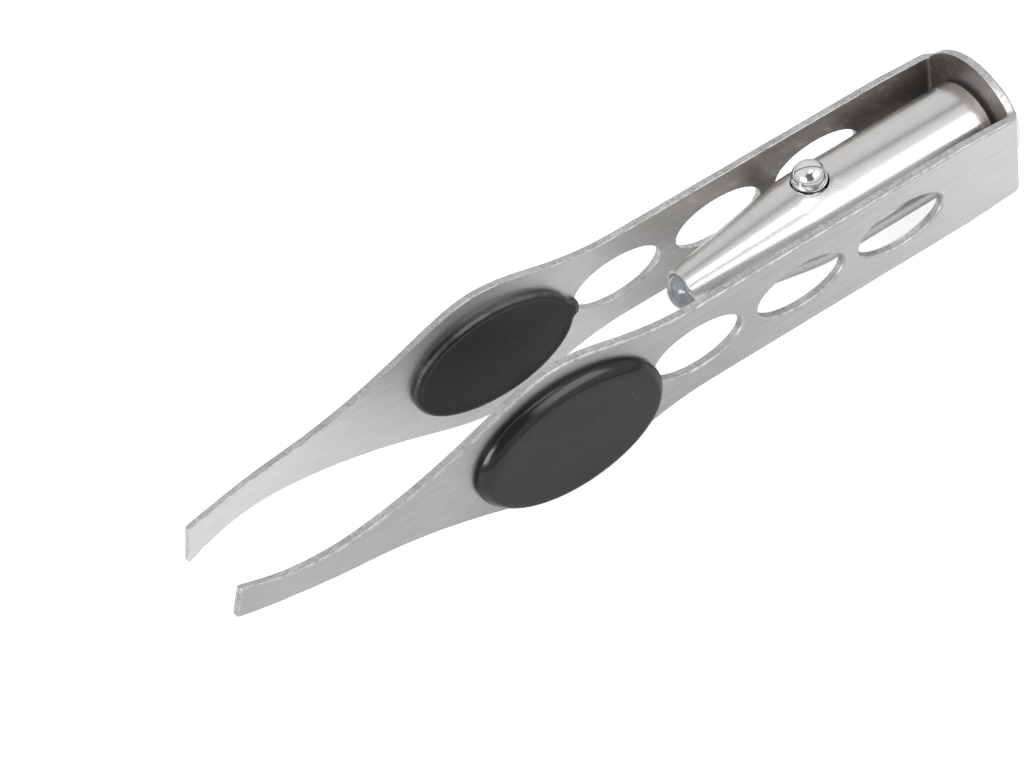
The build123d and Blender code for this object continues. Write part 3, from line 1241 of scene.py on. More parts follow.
    def outline(self) -> list[Flat]:
        """Open outline of half the flat strip, from the plate's middle over the tip and back.

        Returns:
            The unrolled points.
        """
        upper_reach = self.arm_length - self.tip_slant
        upper = self.side_edge(1, upper_reach)
        lower = self.side_edge(-1, self.arm_length)
        corner_up = (-upper_reach, self.tip_half_width)
        corner_low = (-self.arm_length, -self.tip_half_width)
        tip = rounded_corner(upper[-1], corner_up, corner_low, self.tip_corner_radius)
        tip += rounded_corner(corner_up, corner_low, lower[-1], self.tip_corner_radius)
        edge = self.plate_edge()
        return edge + upper + tip + lower[::-1] + [(s, -z) for s, z in edge[::-1]]

    def hole_edge(self) -> list[Flat]:
        """Open half circle of the hole in the end plate.

        Returns:
            The unrolled points, from below the middle to above it.
        """
        middle, radius, steps = self.plate_centre, self.plate_hole_radius, self.hole_steps
        angles = [math.pi * step / steps for step in range(steps + 1)]
        return [(middle - radius * math.sin(a), -radius * math.cos(a)) for a in angles]

    def oval(self, centre: float, half_length: float, half_height: float) -> list[Flat]:
        """Closed outline of an oval window.

        Args:
            centre: Unrolled place of its middle.
            half_length: Half its length.
            half_height: Half its height.

        Returns:
            The points of the outline.
        """
        angles = full_turn(self.window_steps)
        return [(centre + half_length * math.cos(a), half_height * math.sin(a)) for a in angles]

    def windows(self) -> list[list[Flat]]:
        """Outlines of the windows of an arm.

        Returns:
            One closed outline for each window, the grip's own one last.
        """
        length, height = self.window_half_length, self.window_half_height
        ovals = [self.oval(-centre, length, height) for centre in self.window_centres]
        length, height = self.grip_window_half_length, self.grip_window_half_height
        return [*ovals, self.oval(-self.grip_position, length, height)]

    @staticmethod
    def normals(points: Sequence[Flat], closed: bool, flip: bool) -> list[Vector]:
        """Directions out of the metal in the plane of the sheet.

        Args:
            points: The edge's points in order.
            closed: Whether the edge closes on itself.
            flip: Whether the metal lies on the other side.

        Returns:
            One unit vector per point.
        """
        count = len(points)
        made = []
        for index in range(count):
            total = Vector((0, 0))
            for first, second in ((index - 1, index), (index, index + 1)):
                if closed or (first >= 0 and second < count):
                    step = Vector(points[second % count]) - Vector(points[first % count])
                    total += Vector((-step.y, step.x)).normalized()
            if not closed and index in (0, count - 1):
                total = Vector((0, math.copysign(1, total.y)))
            made.append(total.normalized() * (-1 if flip else 1))
        return made

    def rows_across(self) -> list[EdgeRow]:
        """Rows of the sheet's edge from its outer face to its inner one.

        Returns:
            The rows.
        """
        outer, inner = self.outer_rounding, self.inner_rounding
        rows = []
        for angle in quarter(self.outer_rounding_steps):
            side, out = math.sin(angle), math.cos(angle)
            rows.append(EdgeRow(outer * (1 - side), outer * (1 - out), side, out, Band.OUTER_EDGE))
        rows[-1] = rows[-1]._replace(band=Band.SHEARED_WALL)
        split = outer + (self.thickness - outer - inner) * self.shear_share
        rows.append(EdgeRow(0.0, split, 1.0, 0.0, Band.TORN_WALL))
        for angle in reversed(quarter(self.inner_rounding_steps)):
            side, out = math.sin(angle), math.cos(angle)
            depth = self.thickness - inner * (1 - out)
            rows.append(EdgeRow(inner * (1 - side), depth, side, -out, Band.INNER_EDGE))
        return rows

    def edge_band(
        self,
        skin: Skin,
        layer: bmesh.types.BMLayerItem,
        points: Sequence[Flat],
        closed: bool,
    ) -> list[Ring]:
        """Adds the rounded band along one edge of the unrolled sheet.

        Args:
            skin: The mesh under construction.
            layer: Vertex layer that holds the unrolled normals.
            points: The edge's points.
            closed: Whether the edge closes on itself, as a window's does.

        Returns:
            The rows of the band, from the outer face to the inner one.
        """
        aims = self.normals(points, closed, flip=not closed)
        rows = self.rows_across()
        rings = []
        for row in rows:
            spots = [
                Vector((point[0] - aim.x * row.inset, point[1] - aim.y * row.inset, -row.depth))
                for point, aim in zip(points, aims)
            ]
            ring = skin.ring(spots)
            for vert, aim in zip(ring, aims):
                vert[layer] = Vector((aim.x * row.sideways, aim.y * row.sideways, row.outward))
            rings.append(ring)
        for row, first, second in zip(rows, rings, rings[1:]):
            skin.join(first, second, row.band, closed)
        return rings

    def flat_face(
        self,
        skin: Skin,
        layer: bmesh.types.BMLayerItem,
        ends: tuple[Ring, Ring],
        windows: Sequence[Ring],
        band: Band,
    ) -> None:
        """Fills one flat face between the edge bands.

        Args:
            skin: The mesh under construction.
            layer: Vertex layer that holds the unrolled normals.
            ends: The open rings of the outline and of the plate's hole.
            windows: The closed rings of the windows.
            band: Which of the two faces.
        """
        aim = Vector((0, 0, 1.0 if band is Band.OUTER_FACE else -1.0))
        outline, hole = ends
        edges = []
        for ring in ends:
            edges += [skin.mesh.edges.get(pair) for pair in zip(ring, ring[1:])]
        edges.append(skin.mesh.edges.new((outline[-1], hole[0])))
        edges.append(skin.mesh.edges.new((hole[-1], outline[0])))
        for ring in windows:
            edges += [skin.mesh.edges.get(pair) for pair in zip(ring, ring[1:] + ring[:1])]
        made = bmesh.ops.triangle_fill(skin.mesh, use_beauty=True, edges=edges, normal=aim)
        for item in made["geom"]:
            if isinstance(item, bmesh.types.BMFace):
                item.material_index = band
        for ring in [*ends, *windows]:
            for vert in ring:
                vert[layer] = aim

    def divide(self, skin: Skin) -> None:
        """Cuts the flat sheet where it has to bend: at the bend, next to it and along the tip.

        Args:
            skin: The flat sheet.
        """
        bend, flex, tip = self.bend_cuts, self.flex_cuts, self.tip_cuts
        tip_length = self.arm_length - self.tip_bend_start
        lines = [self.bend_length * step / bend for step in range(bend + 1)]
        lines += [-self.flex_length * step / flex for step in range(1, flex + 1)]
        lines += [-self.tip_bend_start - tip_length * step / tip for step in range(tip)]
        for line in lines:
            bmesh.ops.bisect_plane(
                skin.mesh,
                geom=skin.mesh.verts[:] + skin.mesh.edges[:] + skin.mesh.faces[:],
                dist=self.cut_tolerance,
                plane_co=(line, 0, 0),
                plane_no=(1, 0, 0),
            )

    def lay_map(self, skin: Skin, side: Side) -> None:
        """Keeps the unrolled places in metres, for the grain, with the two halves apart.

        Args:
            skin: The flat sheet.
            side: Which arm.
        """
        sheet_map = skin.mesh.loops.layers.uv.new("unrolled")
        shift = self.map_spacing * side.value
        for face in skin.mesh.faces:
            for loop in face.loops:
                spot = loop.vert.co
                loop[sheet_map].uv = (spot.x * MILLIMETRE, (spot.y + shift) * MILLIMETRE)

    def bend(self, skin: Skin, layer: bmesh.types.BMLayerItem, side: Side) -> list[Vector]:
        """Bends the flat sheet into shape.

        Args:
            skin: The flat sheet.
            layer: Vertex layer that holds the unrolled normals.
            side: Which arm.

        Returns:
            The normals at its points.
        """
        aims = []
        for vert in skin.mesh.verts:
            spot, aim = vert.co.copy(), vert[layer]
            at, along, out = self.fold(spot.x, -spot.z)
            flat = along * aim.x + out * aim.z
            vert.co = place(at.x, at.y * side.value, spot.y)
            aims.append(Vector((flat.x, flat.y * side.value, aim.y)).normalized())
        return aims

    def materials(self, side: Side, rack: FinishRack) -> list[bpy.types.Material]:
        """Finishes of one half of the strip.

        Args:
            side: Which arm.
            rack: The finishes.

        Returns:
            The materials in the order of the bands.
        """
        names = {
            Band.OUTER_FACE: "brushed_steel",
            Band.INNER_EDGE: "tumbled_edge",
            Band.SHEARED_WALL: "sheared_wall",
            Band.TORN_WALL: "torn_wall",
            Band.INNER_FACE: side.inner_finish,
            Band.OUTER_EDGE: "rolled_edge",
        }
        return [rack.take(names[band]) for band in Band]

    def half(self, side: Side, rack: FinishRack) -> bpy.types.Object:
        """Builds one half of the strip: an arm, its bend and half of the end plate.

        Args:
            side: Which arm.
            rack: The finishes.

        Returns:
            The piece.
        """
        skin = Skin(f"{side.arm_body}_strip")
        layer = skin.mesh.verts.layers.float_vector.new("aim")
        outline = self.edge_band(skin, layer, self.outline(), closed=False)
        hole = self.edge_band(skin, layer, self.hole_edge(), closed=False)
        windows = [self.edge_band(skin, layer, oval, closed=True) for oval in self.windows()]
        for row, band in ((0, Band.OUTER_FACE), (-1, Band.INNER_FACE)):
            ends = (outline[row], hole[row])
            self.flat_face(skin, layer, ends, [window[row] for window in windows], band)
        self.divide(skin)
        self.lay_map(skin, side)
        aims = self.bend(skin, layer, side)
        piece = skin.object(self.materials(side, rack), math.pi, aims)
        piece.data.normals_split_custom_set_from_vertices(aims)
        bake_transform(piece)
        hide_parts(side.arm_body, "end_plate")
        return piece

    def build(self, rack: FinishRack) -> list[bpy.types.Object]:
        """Builds both halves."""
        return [self.half(side, rack) for side in Side]


# ------------------------------------------------------------------------------------ rubber grips


@dataclass
class RubberGrips:
    """The two grips: outer pad, neck through the arm's window, inner pad with its rim and nub."""

    centre: float = -52.8
    face: float = 8.45
    arm_outer: float = 6.85
    arm_inner: float = 5.95
    contact: float = 0.01
    half_length: float = 10.25
    half_height: float = 6.4
    drop: float = 0.5
    crown: float = 0.06
    crown_border: float = 0.6
    crown_left: float = 0.25
    shoulder_width: float = 0.95
    shoulder_depth: float = 1.05
    shoulder_flatness: float = 1.45
    shoulder_lean: float = 0.35
    groove_depth: float = 0.4
    groove_height: float = 0.35
    groove_chamfer: float = 0.05
    lip_rounding: float = 0.1
    neck_half_length: float = 7.78
    neck_half_height: float = 4.18
    inner_half_length: float = 9.0
    inner_half_height: float = 5.4
    inner_thickness: float = 0.8
    inner_shift: float = 0.4
    inner_rounding: float = 0.3
    foot_inset: float = 0.03
    foot_height: float = 0.05
    rim_width: float = 0.35
    rim_height: float = 0.05
    rim_profile: tuple[Flat, ...] = ((-0.08, 0.0), (0.0, 0.3), (0.12, 0.85), (0.25, 1.0))
    nub_reach: float = 0.7
    nub_half_height: float = 0.9
    nub_flat_share: float = 0.55
    nub_fall_share: float = 0.5
    nub_fade: float = 0.35

    around: int = 120
    face_shares: tuple[float, ...] = (0.15, 0.35, 0.55, 0.75, 0.9)
    lining_shares: tuple[float, ...] = (0.8, 0.55, 0.3)
    shoulder_steps: int = 12
    lip_steps: int = 3
    inner_rounding_steps: int = 5

    def oval(
        self,
        size: Flat,
        inset: float,
        height: float,
        side: Side,
        shift: Flat = (0.0, 0.0),
        lean: float = 0.0,
    ) -> list[Vector]:
        """One ring of an oval, set in square to its edge.

        Args:
            size: Half length and half height of the oval.
            inset: How far inside its edge the ring runs.
            height: Distance from the middle plane between the arms.
            side: Which grip.
            shift: How far the oval's middle lies off the window's middle, along X and Z.
            lean: Share by which the inset is larger at the oval's top and smaller at its bottom.

        Returns:
            The ring's points in the row frame.
        """
        half_length, half_height = size
        points = []
        for angle in full_turn(self.around):
            x = half_length * math.cos(angle) + shift[0]
            z = half_height * math.sin(angle) + shift[1]
            aim = Vector((half_height * math.cos(angle), half_length * math.sin(angle)))
            aim.normalize()
            step_in = inset * (1 + lean * aim.y)
            x, z = self.centre + x - aim.x * step_in, z - aim.y * step_in
            points.append(place(x, side.value * height, z))
        return points

    @staticmethod
    def shrunk(ring: Sequence[Vector], share: float, middle: Vector) -> list[Vector]:
        """Draws a ring in towards a point.

        Args:
            ring: The ring.
            share: Share of its size that is left.
            middle: The point, in whose plane the ring comes to lie.

        Returns:
            The smaller ring.
        """
        spots = [(middle.x + (p.x - middle.x) * share, p.z) for p in ring]
        return [Vector((x, middle.y, middle.z + (z - middle.z) * share)) for x, z in spots]

    def outer_rows(self, side: Side) -> list[list[Vector]]:
        """Rows of the outer pad.

        Args:
            side: Which grip.

        Returns:
            The rows, from the middle of its face to its foot on the arm.
        """
        size, shift = (self.half_length, self.half_height), (0.0, -self.drop)
        lean = self.shoulder_lean
        top = self.face - self.crown
        border = self.shoulder_width + self.crown_border
        rim = self.oval(size, border, top + self.crown * self.crown_left, side, shift, lean)
        rows = [[place(self.centre, side.value * self.face, -self.drop)]]
        for share in self.face_shares:
            height = self.face - self.crown * (1 - self.crown_left) * share**2
            middle = place(self.centre, side.value * height, -self.drop)
            rows.append(self.shrunk(rim, share, middle))
        rows.append(rim)
        for angle in quarter(self.shoulder_steps):
            across, up = math.sin(angle), max(0.0, math.cos(angle))
            inset = self.shoulder_width * (1 - across**self.shoulder_flatness)
            sink = self.shoulder_depth * (1 - up**self.shoulder_flatness)
            rows.append(self.oval(size, inset, top - sink, side, shift, lean))
        lip, small = self.arm_outer + self.groove_height, self.lip_rounding
        for angle in quarter(self.lip_steps):
            inset, rise = small * (1 - math.cos(angle)), small * (1 - math.sin(angle))
            rows.append(self.oval(size, inset, lip + rise, side, shift))
        groove, chamfer = self.groove_depth, self.groove_chamfer
        rows.append(self.oval(size, groove - chamfer, lip, side, shift))
        rows.append(self.oval(size, groove, lip - chamfer, side, shift))
        rows.append(self.oval(size, groove, self.arm_outer + self.contact, side, shift))
        return rows

    def nubbed(self, ring: Sequence[Vector], share: float = 1.0) -> list[Vector]:
        """Draws the rear end of a ring out into the nub.

        Args:
            ring: The ring.
            share: How much of the nub it gets.

        Returns:
            The ring with its nub.
        """
        made = []
        for point in ring:
            height = abs(point.z / MILLIMETRE - FLOOR_SHIFT) / self.nub_half_height
            rear = point.x / MILLIMETRE - REAR_SHIFT > self.centre + self.inner_shift
            fall = max(0.0, height - self.nub_flat_share) / self.nub_fall_share
            reach = max(0.0, 1 - fall) if rear else 0.0
            reach = reach * reach * (3 - 2 * reach)
            made.append(point + Vector((self.nub_reach * share * reach * MILLIMETRE, 0, 0)))
        return made

    def inner_rows(self, side: Side) -> list[list[Vector]]:
        """Rows of the inner pad.

        Args:
            side: Which grip.

        Returns:
            The rows, from its edge on the arm to the middle of its face.
        """
        size, shift = (self.inner_half_length, self.inner_half_height), (self.inner_shift, 0.0)
        top = self.arm_inner - self.inner_thickness
        foot = self.oval(size, self.foot_inset, self.arm_inner - self.contact, side, shift)
        edge = self.oval(size, 0.0, self.arm_inner - self.foot_height, side, shift)
        rows = [self.nubbed(foot), self.nubbed(edge)]
        rounding = self.inner_rounding
        for angle in quarter(self.inner_rounding_steps):
            inset, rise = rounding * (1 - math.cos(angle)), rounding * (1 - math.sin(angle))
            ring = self.oval(size, inset, top + rise, side, shift)
            rows.append(self.nubbed(ring, 1.0 - self.nub_fade * angle / QUARTER_TURN))
        rim_end = rounding + self.rim_width
        for inset, share in self.rim_profile:
            height = top + self.rim_height * share
            rows.append(self.oval(size, rim_end + inset, height, side, shift))
        lining_edge = rows[-1]
        middle_y = side.value * (top + self.rim_height)
        middle = place(self.centre + self.inner_shift, middle_y, 0)
        rows += [self.shrunk(lining_edge, share, middle) for share in self.lining_shares]
        return [*rows, [middle]]

    def grip(self, side: Side, rack: FinishRack) -> bpy.types.Object:
        """Builds one grip.

        Args:
            side: Which grip.
            rack: The finishes.

        Returns:
            The grip, riding on its arm.
        """
        neck = (self.neck_half_length, self.neck_half_height)
        rows = self.outer_rows(side)
        rows.append(self.oval(neck, 0.0, self.arm_outer + self.contact, side))
        rows.append(self.oval(neck, 0.0, self.arm_inner - self.contact, side))
        # The inner pad's rounded rim gets the lighter finish, partly worn rubber and partly a
        # painted highlight.
        rim_highlight_from = len(rows) + 1
        rim_highlight_to = rim_highlight_from + self.inner_rounding_steps
        rows += self.inner_rows(side)
        skin = Skin(f"{side.grip_node}_rubber")
        skin.loft(rows)
        skin.mesh.faces.ensure_lookup_table()
        for face in skin.mesh.faces[rim_highlight_from * self.around : rim_highlight_to * self.around]:
            face.material_index = 1
        piece = skin.object([rack.take("grip_rubber"), rack.take("worn_rim_painted_highlight")])
        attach(piece, side.arm_body)
        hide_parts(side.grip_node)
        return piece

    def build(self, rack: FinishRack) -> list[bpy.types.Object]:
        """Builds both grips."""
        return [self.grip(side, rack) for side in Side]


# ------------------------------------------------------------------------------------ torch


@dataclass
class TorchBarrel:
    """Barrel of the torch: turned tube with a smooth shoulder, a nose lip and the button's hole."""

    radius: float = 4.65
    length: float = 34.65
    bore_radius: float = 4.15
    thread_radius: float = 4.28
    thread_length: float = 3.0
    bore_middle: float = 9.0
    bore_length: float = 20.0
    taper_start: float = 20.4
    shoulder_radius: float = 20.0
    nose_radius: float = 2.28
    lens_bore: float = 2.05
    flange_bore: float = 2.45
    flange_front: float = 30.5
    flange_rear: float = 29.7
    rim_rounding: float = 0.22
    lip_rounding: float = 0.09
    step_length: float = 0.001
    hole_position: float = 19.0
    hole_radius: float = 1.88
    hole_rounding: float = 0.07
    hole_border: float = 0.3
    hole_wide_border: float = 0.55
    patch_half_length: float = 2.8
    sharp_angle: float = math.radians(50)

    around: int = 112
    patch_cells_along: int = 14
    patch_cells_across: int = 22
    cells_behind_patch: int = 10
    cells_before_patch: int = 26
    rim_steps: int = 4
    hole_steps: int = 3

    @property
    def taper(self) -> float:
        """Angle of the cone towards the nose, in radians."""
        return math.atan((self.radius - self.nose_radius) / (self.length - self.taper_start))

    def outer_at(self, x: float) -> float:
        """Radius of the outside.

        Args:
            x: Place along the barrel.

        Returns:
            The radius there.
        """
        shoulder = self.shoulder_radius
        reach = shoulder * math.tan(self.taper / 2)
        start = -self.taper_start + reach
        end = -self.taper_start - reach * math.cos(self.taper)
        if x >= start:
            return self.radius
        if x >= end:
            return self.radius - shoulder + math.sqrt(shoulder**2 - (x - start) ** 2)
        return self.radius - (-self.taper_start - x) * math.tan(self.taper)

    def inner_at(self, x: float) -> float:
        """Radius of the bore.

        Args:
            x: Place along the barrel.

        Returns:
            The radius there.
        """
        if x > -self.thread_length:
            return self.thread_radius
        if x >= -self.bore_length:
            return self.bore_radius
        if x > -self.flange_rear:
            share = (-x - self.bore_length) / (self.flange_rear - self.bore_length)
            return self.bore_radius + (self.flange_bore - self.bore_radius) * share
        return self.flange_bore if x > -self.flange_front else self.lens_bore

    def round_at(self, x: float, radius: float) -> list[Vector]:
        """A ring of points about the barrel's axis."""
        angles = full_turn(self.around)
        return [place(x, radius * math.cos(a), radius * math.sin(a)) for a in angles]

    def patch_stations(self) -> list[float]:
        """Places along the barrel of the rings beside the button's hole.

        Returns:
            The places, the rearmost first.
        """
        rear = -self.hole_position + self.patch_half_length
        step = 2 * self.patch_half_length / self.patch_cells_along
        return [rear - step * index for index in range(self.patch_cells_along + 1)]

    def outer_stations(self) -> list[float]:
        """Places along the barrel of the outside's rings.

        Returns:
            The places, the rearmost first.
        """
        patch = self.patch_stations()
        behind, before = self.cells_behind_patch, self.cells_before_patch
        start, end = -self.rim_rounding, -self.length + self.lip_rounding
        rear = [start + (patch[0] - start) * k / behind for k in range(behind)]
        front = [patch[-1] + (end - patch[-1]) * (k + 1) / before for k in range(before)]
        return rear + patch + front

    def bore_stations(self) -> list[float]:
        """Places along the barrel of the bore's rings, with two close ones at each sharp step.

        Returns:
            The places, the rearmost first.
        """
        step = self.step_length
        thread, rear, front = -self.thread_length, -self.flange_rear, -self.flange_front
        behind = [0.0, thread + step, thread - step, -self.bore_middle]
        before = [rear + step, rear - step, front + step, front - step]
        nose = -self.length + self.lip_rounding / 2
        return [*behind, *self.patch_stations(), *before, nose]

    def hole_ring(
        self, border: Ring, radius: float, radius_at: Callable[[float], float], sink: float = 0.0
    ) -> list[Vector]:
        """Points round the button's hole, each in line with a point of a ring outside it.

        Args:
            border: The ring outside it.
            radius: Radius about the hole's axis.
            radius_at: Radius of the surface at a place along the barrel.
            sink: How far below that surface the points lie.

        Returns:
            The points.
        """
        points = []
        for vert in border:
            x = vert.co.x / MILLIMETRE - REAR_SHIFT + self.hole_position
            angle = math.atan2(vert.co.y / MILLIMETRE, x)
            at, across = -self.hole_position + radius * math.cos(angle), radius * math.sin(angle)
            points.append(place(at, across, math.sqrt(radius_at(at) ** 2 - across**2) - sink))
        return points

    def wall(
        self,
        skin: Skin,
        stations: Sequence[float],
        radius_at: Callable[[float], float],
        rims: Sequence[float],
    ) -> tuple[Ring, Ring, Ring]:
        """Adds the outside or the bore, with the button's hole in it.

        Args:
            skin: The mesh under construction.
            stations: Places of the rings along the barrel, the patch's among them.
            radius_at: Radius at a place along the barrel.
            rims: Radii of the rings round the hole, the largest first.

        Returns:
            The rear ring, the front ring and the ring at the hole.
        """
        patch = self.patch_stations()
        first, last = stations.index(patch[0]), stations.index(patch[-1])
        top = self.around // 4
        left, right = top - self.patch_cells_across // 2, top + self.patch_cells_across // 2
        rings: list[list[bmesh.types.BMVert | None]] = []
        for row, x in enumerate(stations):
            beside = first < row < last
            rings.append(
                [
                    None if beside and left < k < right else skin.mesh.verts.new(point)
                    for k, point in enumerate(self.round_at(x, radius_at(x)))
                ]
            )
        for row, (ring, after) in enumerate(zip(rings, rings[1:])):
            for k in range(self.around):
                if first <= row < last and left <= k < right:
                    continue
                beyond = (k + 1) % self.around
                skin.mesh.faces.new((ring[k], ring[beyond], after[beyond], after[k]))
        border = [rings[first][k] for k in range(left, right)]
        border += [rings[row][right] for row in range(first, last)]
        border += [rings[last][k] for k in range(right, left, -1)]
        border += [rings[row][left] for row in range(last, first, -1)]
        bands = [border]
        for radius in rims:
            bands.append(skin.ring(self.hole_ring(border, radius, radius_at)))
            skin.join(bands[-2], bands[-1])
        return rings[0], rings[-1], bands[-1]

    def rim(self, skin: Skin, end: float, radius: float, rounding: float) -> list[Ring]:
        """Adds the rings of a rounded rim.

        Args:
            skin: The mesh under construction.
            end: Place of the end face along the barrel.
            radius: Outer radius where the rounding starts.
            rounding: Its radius, positive at the nose and negative at the rear.

        Returns:
            The rings, the one on the end face last.
        """
        made = []
        for angle in quarter(self.rim_steps)[1:]:
            at = end + rounding * (1 - math.sin(angle))
            inward = abs(rounding) * (1 - math.cos(angle))
            made.append(skin.ring(self.round_at(at, radius - inward)))
        return made

    def build(self, rack: FinishRack) -> bpy.types.Object:
        """Builds the barrel.

        Args:
            rack: The finishes.

        Returns:
            The barrel, riding on the light.
        """
        skin = Skin("light_barrel_shell")
        hole, rounding, lip = self.hole_radius, self.hole_rounding, self.lip_rounding
        near, wide = hole + self.hole_border, hole + self.hole_wide_border
        outer_radii, inner_radii = (wide, near, hole + rounding), (near, hole)
        outside = self.wall(skin, self.outer_stations(), self.outer_at, outer_radii)
        bore = self.wall(skin, self.bore_stations(), self.inner_at, inner_radii)
        outer_rear, outer_front, outer_hole = outside
        inner_rear, inner_front, inner_hole = bore
        rims = [outer_hole]
        for angle in quarter(self.hole_steps)[1:]:
            radius, sink = hole + rounding * (1 - math.sin(angle)), rounding * (1 - math.cos(angle))
            rims.append(skin.ring(self.hole_ring(outer_hole, radius, self.outer_at, sink)))
        skin.join_all([*rims, inner_hole])
        rear = self.rim(skin, 0.0, self.radius, -self.rim_rounding)
        skin.join_all([outer_rear, *rear, inner_rear])
        nose = self.rim(skin, -self.length, self.outer_at(-self.length + lip), lip)
        nose.append(skin.ring(self.round_at(-self.length, self.lens_bore + lip / 2)))
        skin.join_all([outer_front, *nose, inner_front])
        piece = skin.object([rack.take("barrel_satin")], self.sharp_angle)
        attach(piece, "light")
        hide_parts("light_barrel")
        return piece


@dataclass
class TurnedPart:
    """A piece turned about the barrel's axis or an upright one, from a profile of corners.

    Each corner is its place along the axis, its distance from it and the radius that rounds it.
    """

    name: str
    node: str
    body: str
    slot: str
    finish: str
    corners: tuple[Triple, ...]
    upright_at: float | None = None
    around: int = 96

    def outline(self) -> list[Flat]:
        """Rounds each corner of the profile by its own radius.

        Returns:
            The profile as points of place and radius.
        """
        points: list[Flat] = []
        for index, (at, radius, rounding) in enumerate(self.corners):
            if rounding <= 0:
                points.append((at, radius))
                continue
            before, after = self.corners[index - 1], self.corners[index + 1]
            points += rounded_corner(before[:2], (at, radius), after[:2], rounding)
        return points

    def row(self, at: float, radius: float) -> list[Vector]:
        """Points of one ring.

        Args:
            at: Place along the axis.
            radius: Radius of the ring.

        Returns:
            The points, or a single point where the radius is 0.
        """
        if radius <= 0:
            return [self.point(at, 0, 0)]
        angles = full_turn(self.around)
        return [self.point(at, radius * math.cos(a), radius * math.sin(a)) for a in angles]

    def point(self, at: float, first: float, second: float) -> Vector:
        """Places a point by the piece's own axis.

        Args:
            at: Place along the axis.
            first: First distance from it.
            second: Second distance from it.

        Returns:
            The point in the row frame.
        """
        if self.upright_at is None:
            return place(at, first, second)
        return place(self.upright_at + first, second, at)

    def build(self, rack: FinishRack) -> bpy.types.Object:
        """Builds the piece.

        Args:
            rack: The finishes.

        Returns:
            The piece, riding on its body.
        """
        skin = Skin(self.name)
        skin.loft([self.row(at, radius) for at, radius in self.outline()])
        piece = skin.object([rack.take(self.finish)])
        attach(piece, self.body)
        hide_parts(self.node)
        return piece


@dataclass
class Torch:
    """The torch between the arms: barrel, tail cap, button and lens."""

    barrel: TorchBarrel = field(default_factory=TorchBarrel)
    cap_end: float = 2.95
    cap_radius: float = 4.85
    cap_rounding: float = 0.45
    cap_foot_rounding: float = 0.1
    plate_outer: float = 1.3
    boss_radius: float = 4.22
    boss_end: float = -2.6
    boss_rounding: float = 0.2
    pocket_radius: float = 3.55
    pocket_floor: float = 0.9
    button_position: float = -19.0
    ball_radius: float = 1.78
    ball_centre: float = 4.82
    neck_radius: float = 1.3
    shank_end: float = 3.15
    flange_radius: float = 2.25
    flange_end: float = 2.55
    stem_radius: float = 0.9
    stem_end: float = 1.925
    button_rounding: float = 0.1
    lens_radius: float = 2.0
    dome_centre: float = -33.9
    lens_flange_radius: float = 2.4
    lens_flange_front: float = -30.5
    lens_flange_rear: float = -29.7
    lens_rounding: float = 0.08

    ball_steps: int = 44
    dome_steps: int = 24

    @staticmethod
    def sphere(centre: float, radius: float, reach: float, steps: int) -> list[Triple]:
        """Corners on a sphere, from its pole on the axis.

        Args:
            centre: Place of its middle along the axis.
            radius: Its radius, negative where the pole lies below the middle.
            reach: Angle from the pole to the last corner, in radians.
            steps: Count of steps between them.

        Returns:
            The corners.
        """
        angles = [reach * step / steps for step in range(steps + 1)]
        return [(centre + radius * math.cos(a), abs(radius) * math.sin(a), 0.0) for a in angles]

    def tail_cap(self) -> TurnedPart:
        """Tail cap with its smooth head and the hollow boss inside the barrel.

        Returns:
            The cap's profile and names.
        """
        corners = (
            (self.cap_end, 0.0, 0.0),
            (self.cap_end, self.cap_radius, self.cap_rounding),
            (self.plate_outer, self.cap_radius, self.cap_foot_rounding),
            (self.plate_outer, self.boss_radius, 0.0),
            (self.boss_end, self.boss_radius, self.boss_rounding),
            (self.boss_end, self.pocket_radius, 0.0),
            (self.pocket_floor, self.pocket_radius, 0.0),
            (self.pocket_floor, 0.0, 0.0),
        )
        return TurnedPart(
            "tail_cap_turned", "tail_cap", "tail_cap", "cap_metal", "cap_satin", corners
        )

    def button(self) -> TurnedPart:
        """Ball-headed button, from the top of its ball down to its stem.

        Returns:
            The button's profile and names.
        """
        reach = math.pi - math.asin(self.neck_radius / self.ball_radius)
        rounding = self.button_rounding
        corners = (
            *self.sphere(self.ball_centre, self.ball_radius, reach, self.ball_steps),
            (self.shank_end, self.neck_radius, 0.0),
            (self.shank_end, self.flange_radius, rounding),
            (self.flange_end, self.flange_radius, rounding),
            (self.flange_end, self.stem_radius, 0.0),
            (self.stem_end, self.stem_radius, rounding),
            (self.stem_end, 0.0, 0.0),
        )
        return TurnedPart(
            "button_ball",
            "button",
            "button",
            "polished_chrome",
            "button_chrome",
            corners,
            self.button_position,
        )

    def lens(self) -> TurnedPart:
        """Clear lens of the lamp with its domed front.

        Returns:
            The lens's profile and names.
        """
        rounding = self.lens_rounding
        corners = (
            *self.sphere(self.dome_centre, -self.lens_radius, QUARTER_TURN, self.dome_steps),
            (self.lens_flange_front, self.lens_radius, 0.0),
            (self.lens_flange_front, self.lens_flange_radius, rounding),
            (self.lens_flange_rear, self.lens_flange_radius, rounding),
            (self.lens_flange_rear, 0.0, 0.0),
        )
        return TurnedPart(
            "led_lens_dome", "led_lens", "light", "clear_lens", "clear_resin", corners
        )

    def build(self, rack: FinishRack) -> list[bpy.types.Object]:
        """Builds every piece of the torch that the scene makes itself."""
        parts = (self.barrel, self.tail_cap(), self.button(), self.lens())
        return [part.build(rack) for part in parts]


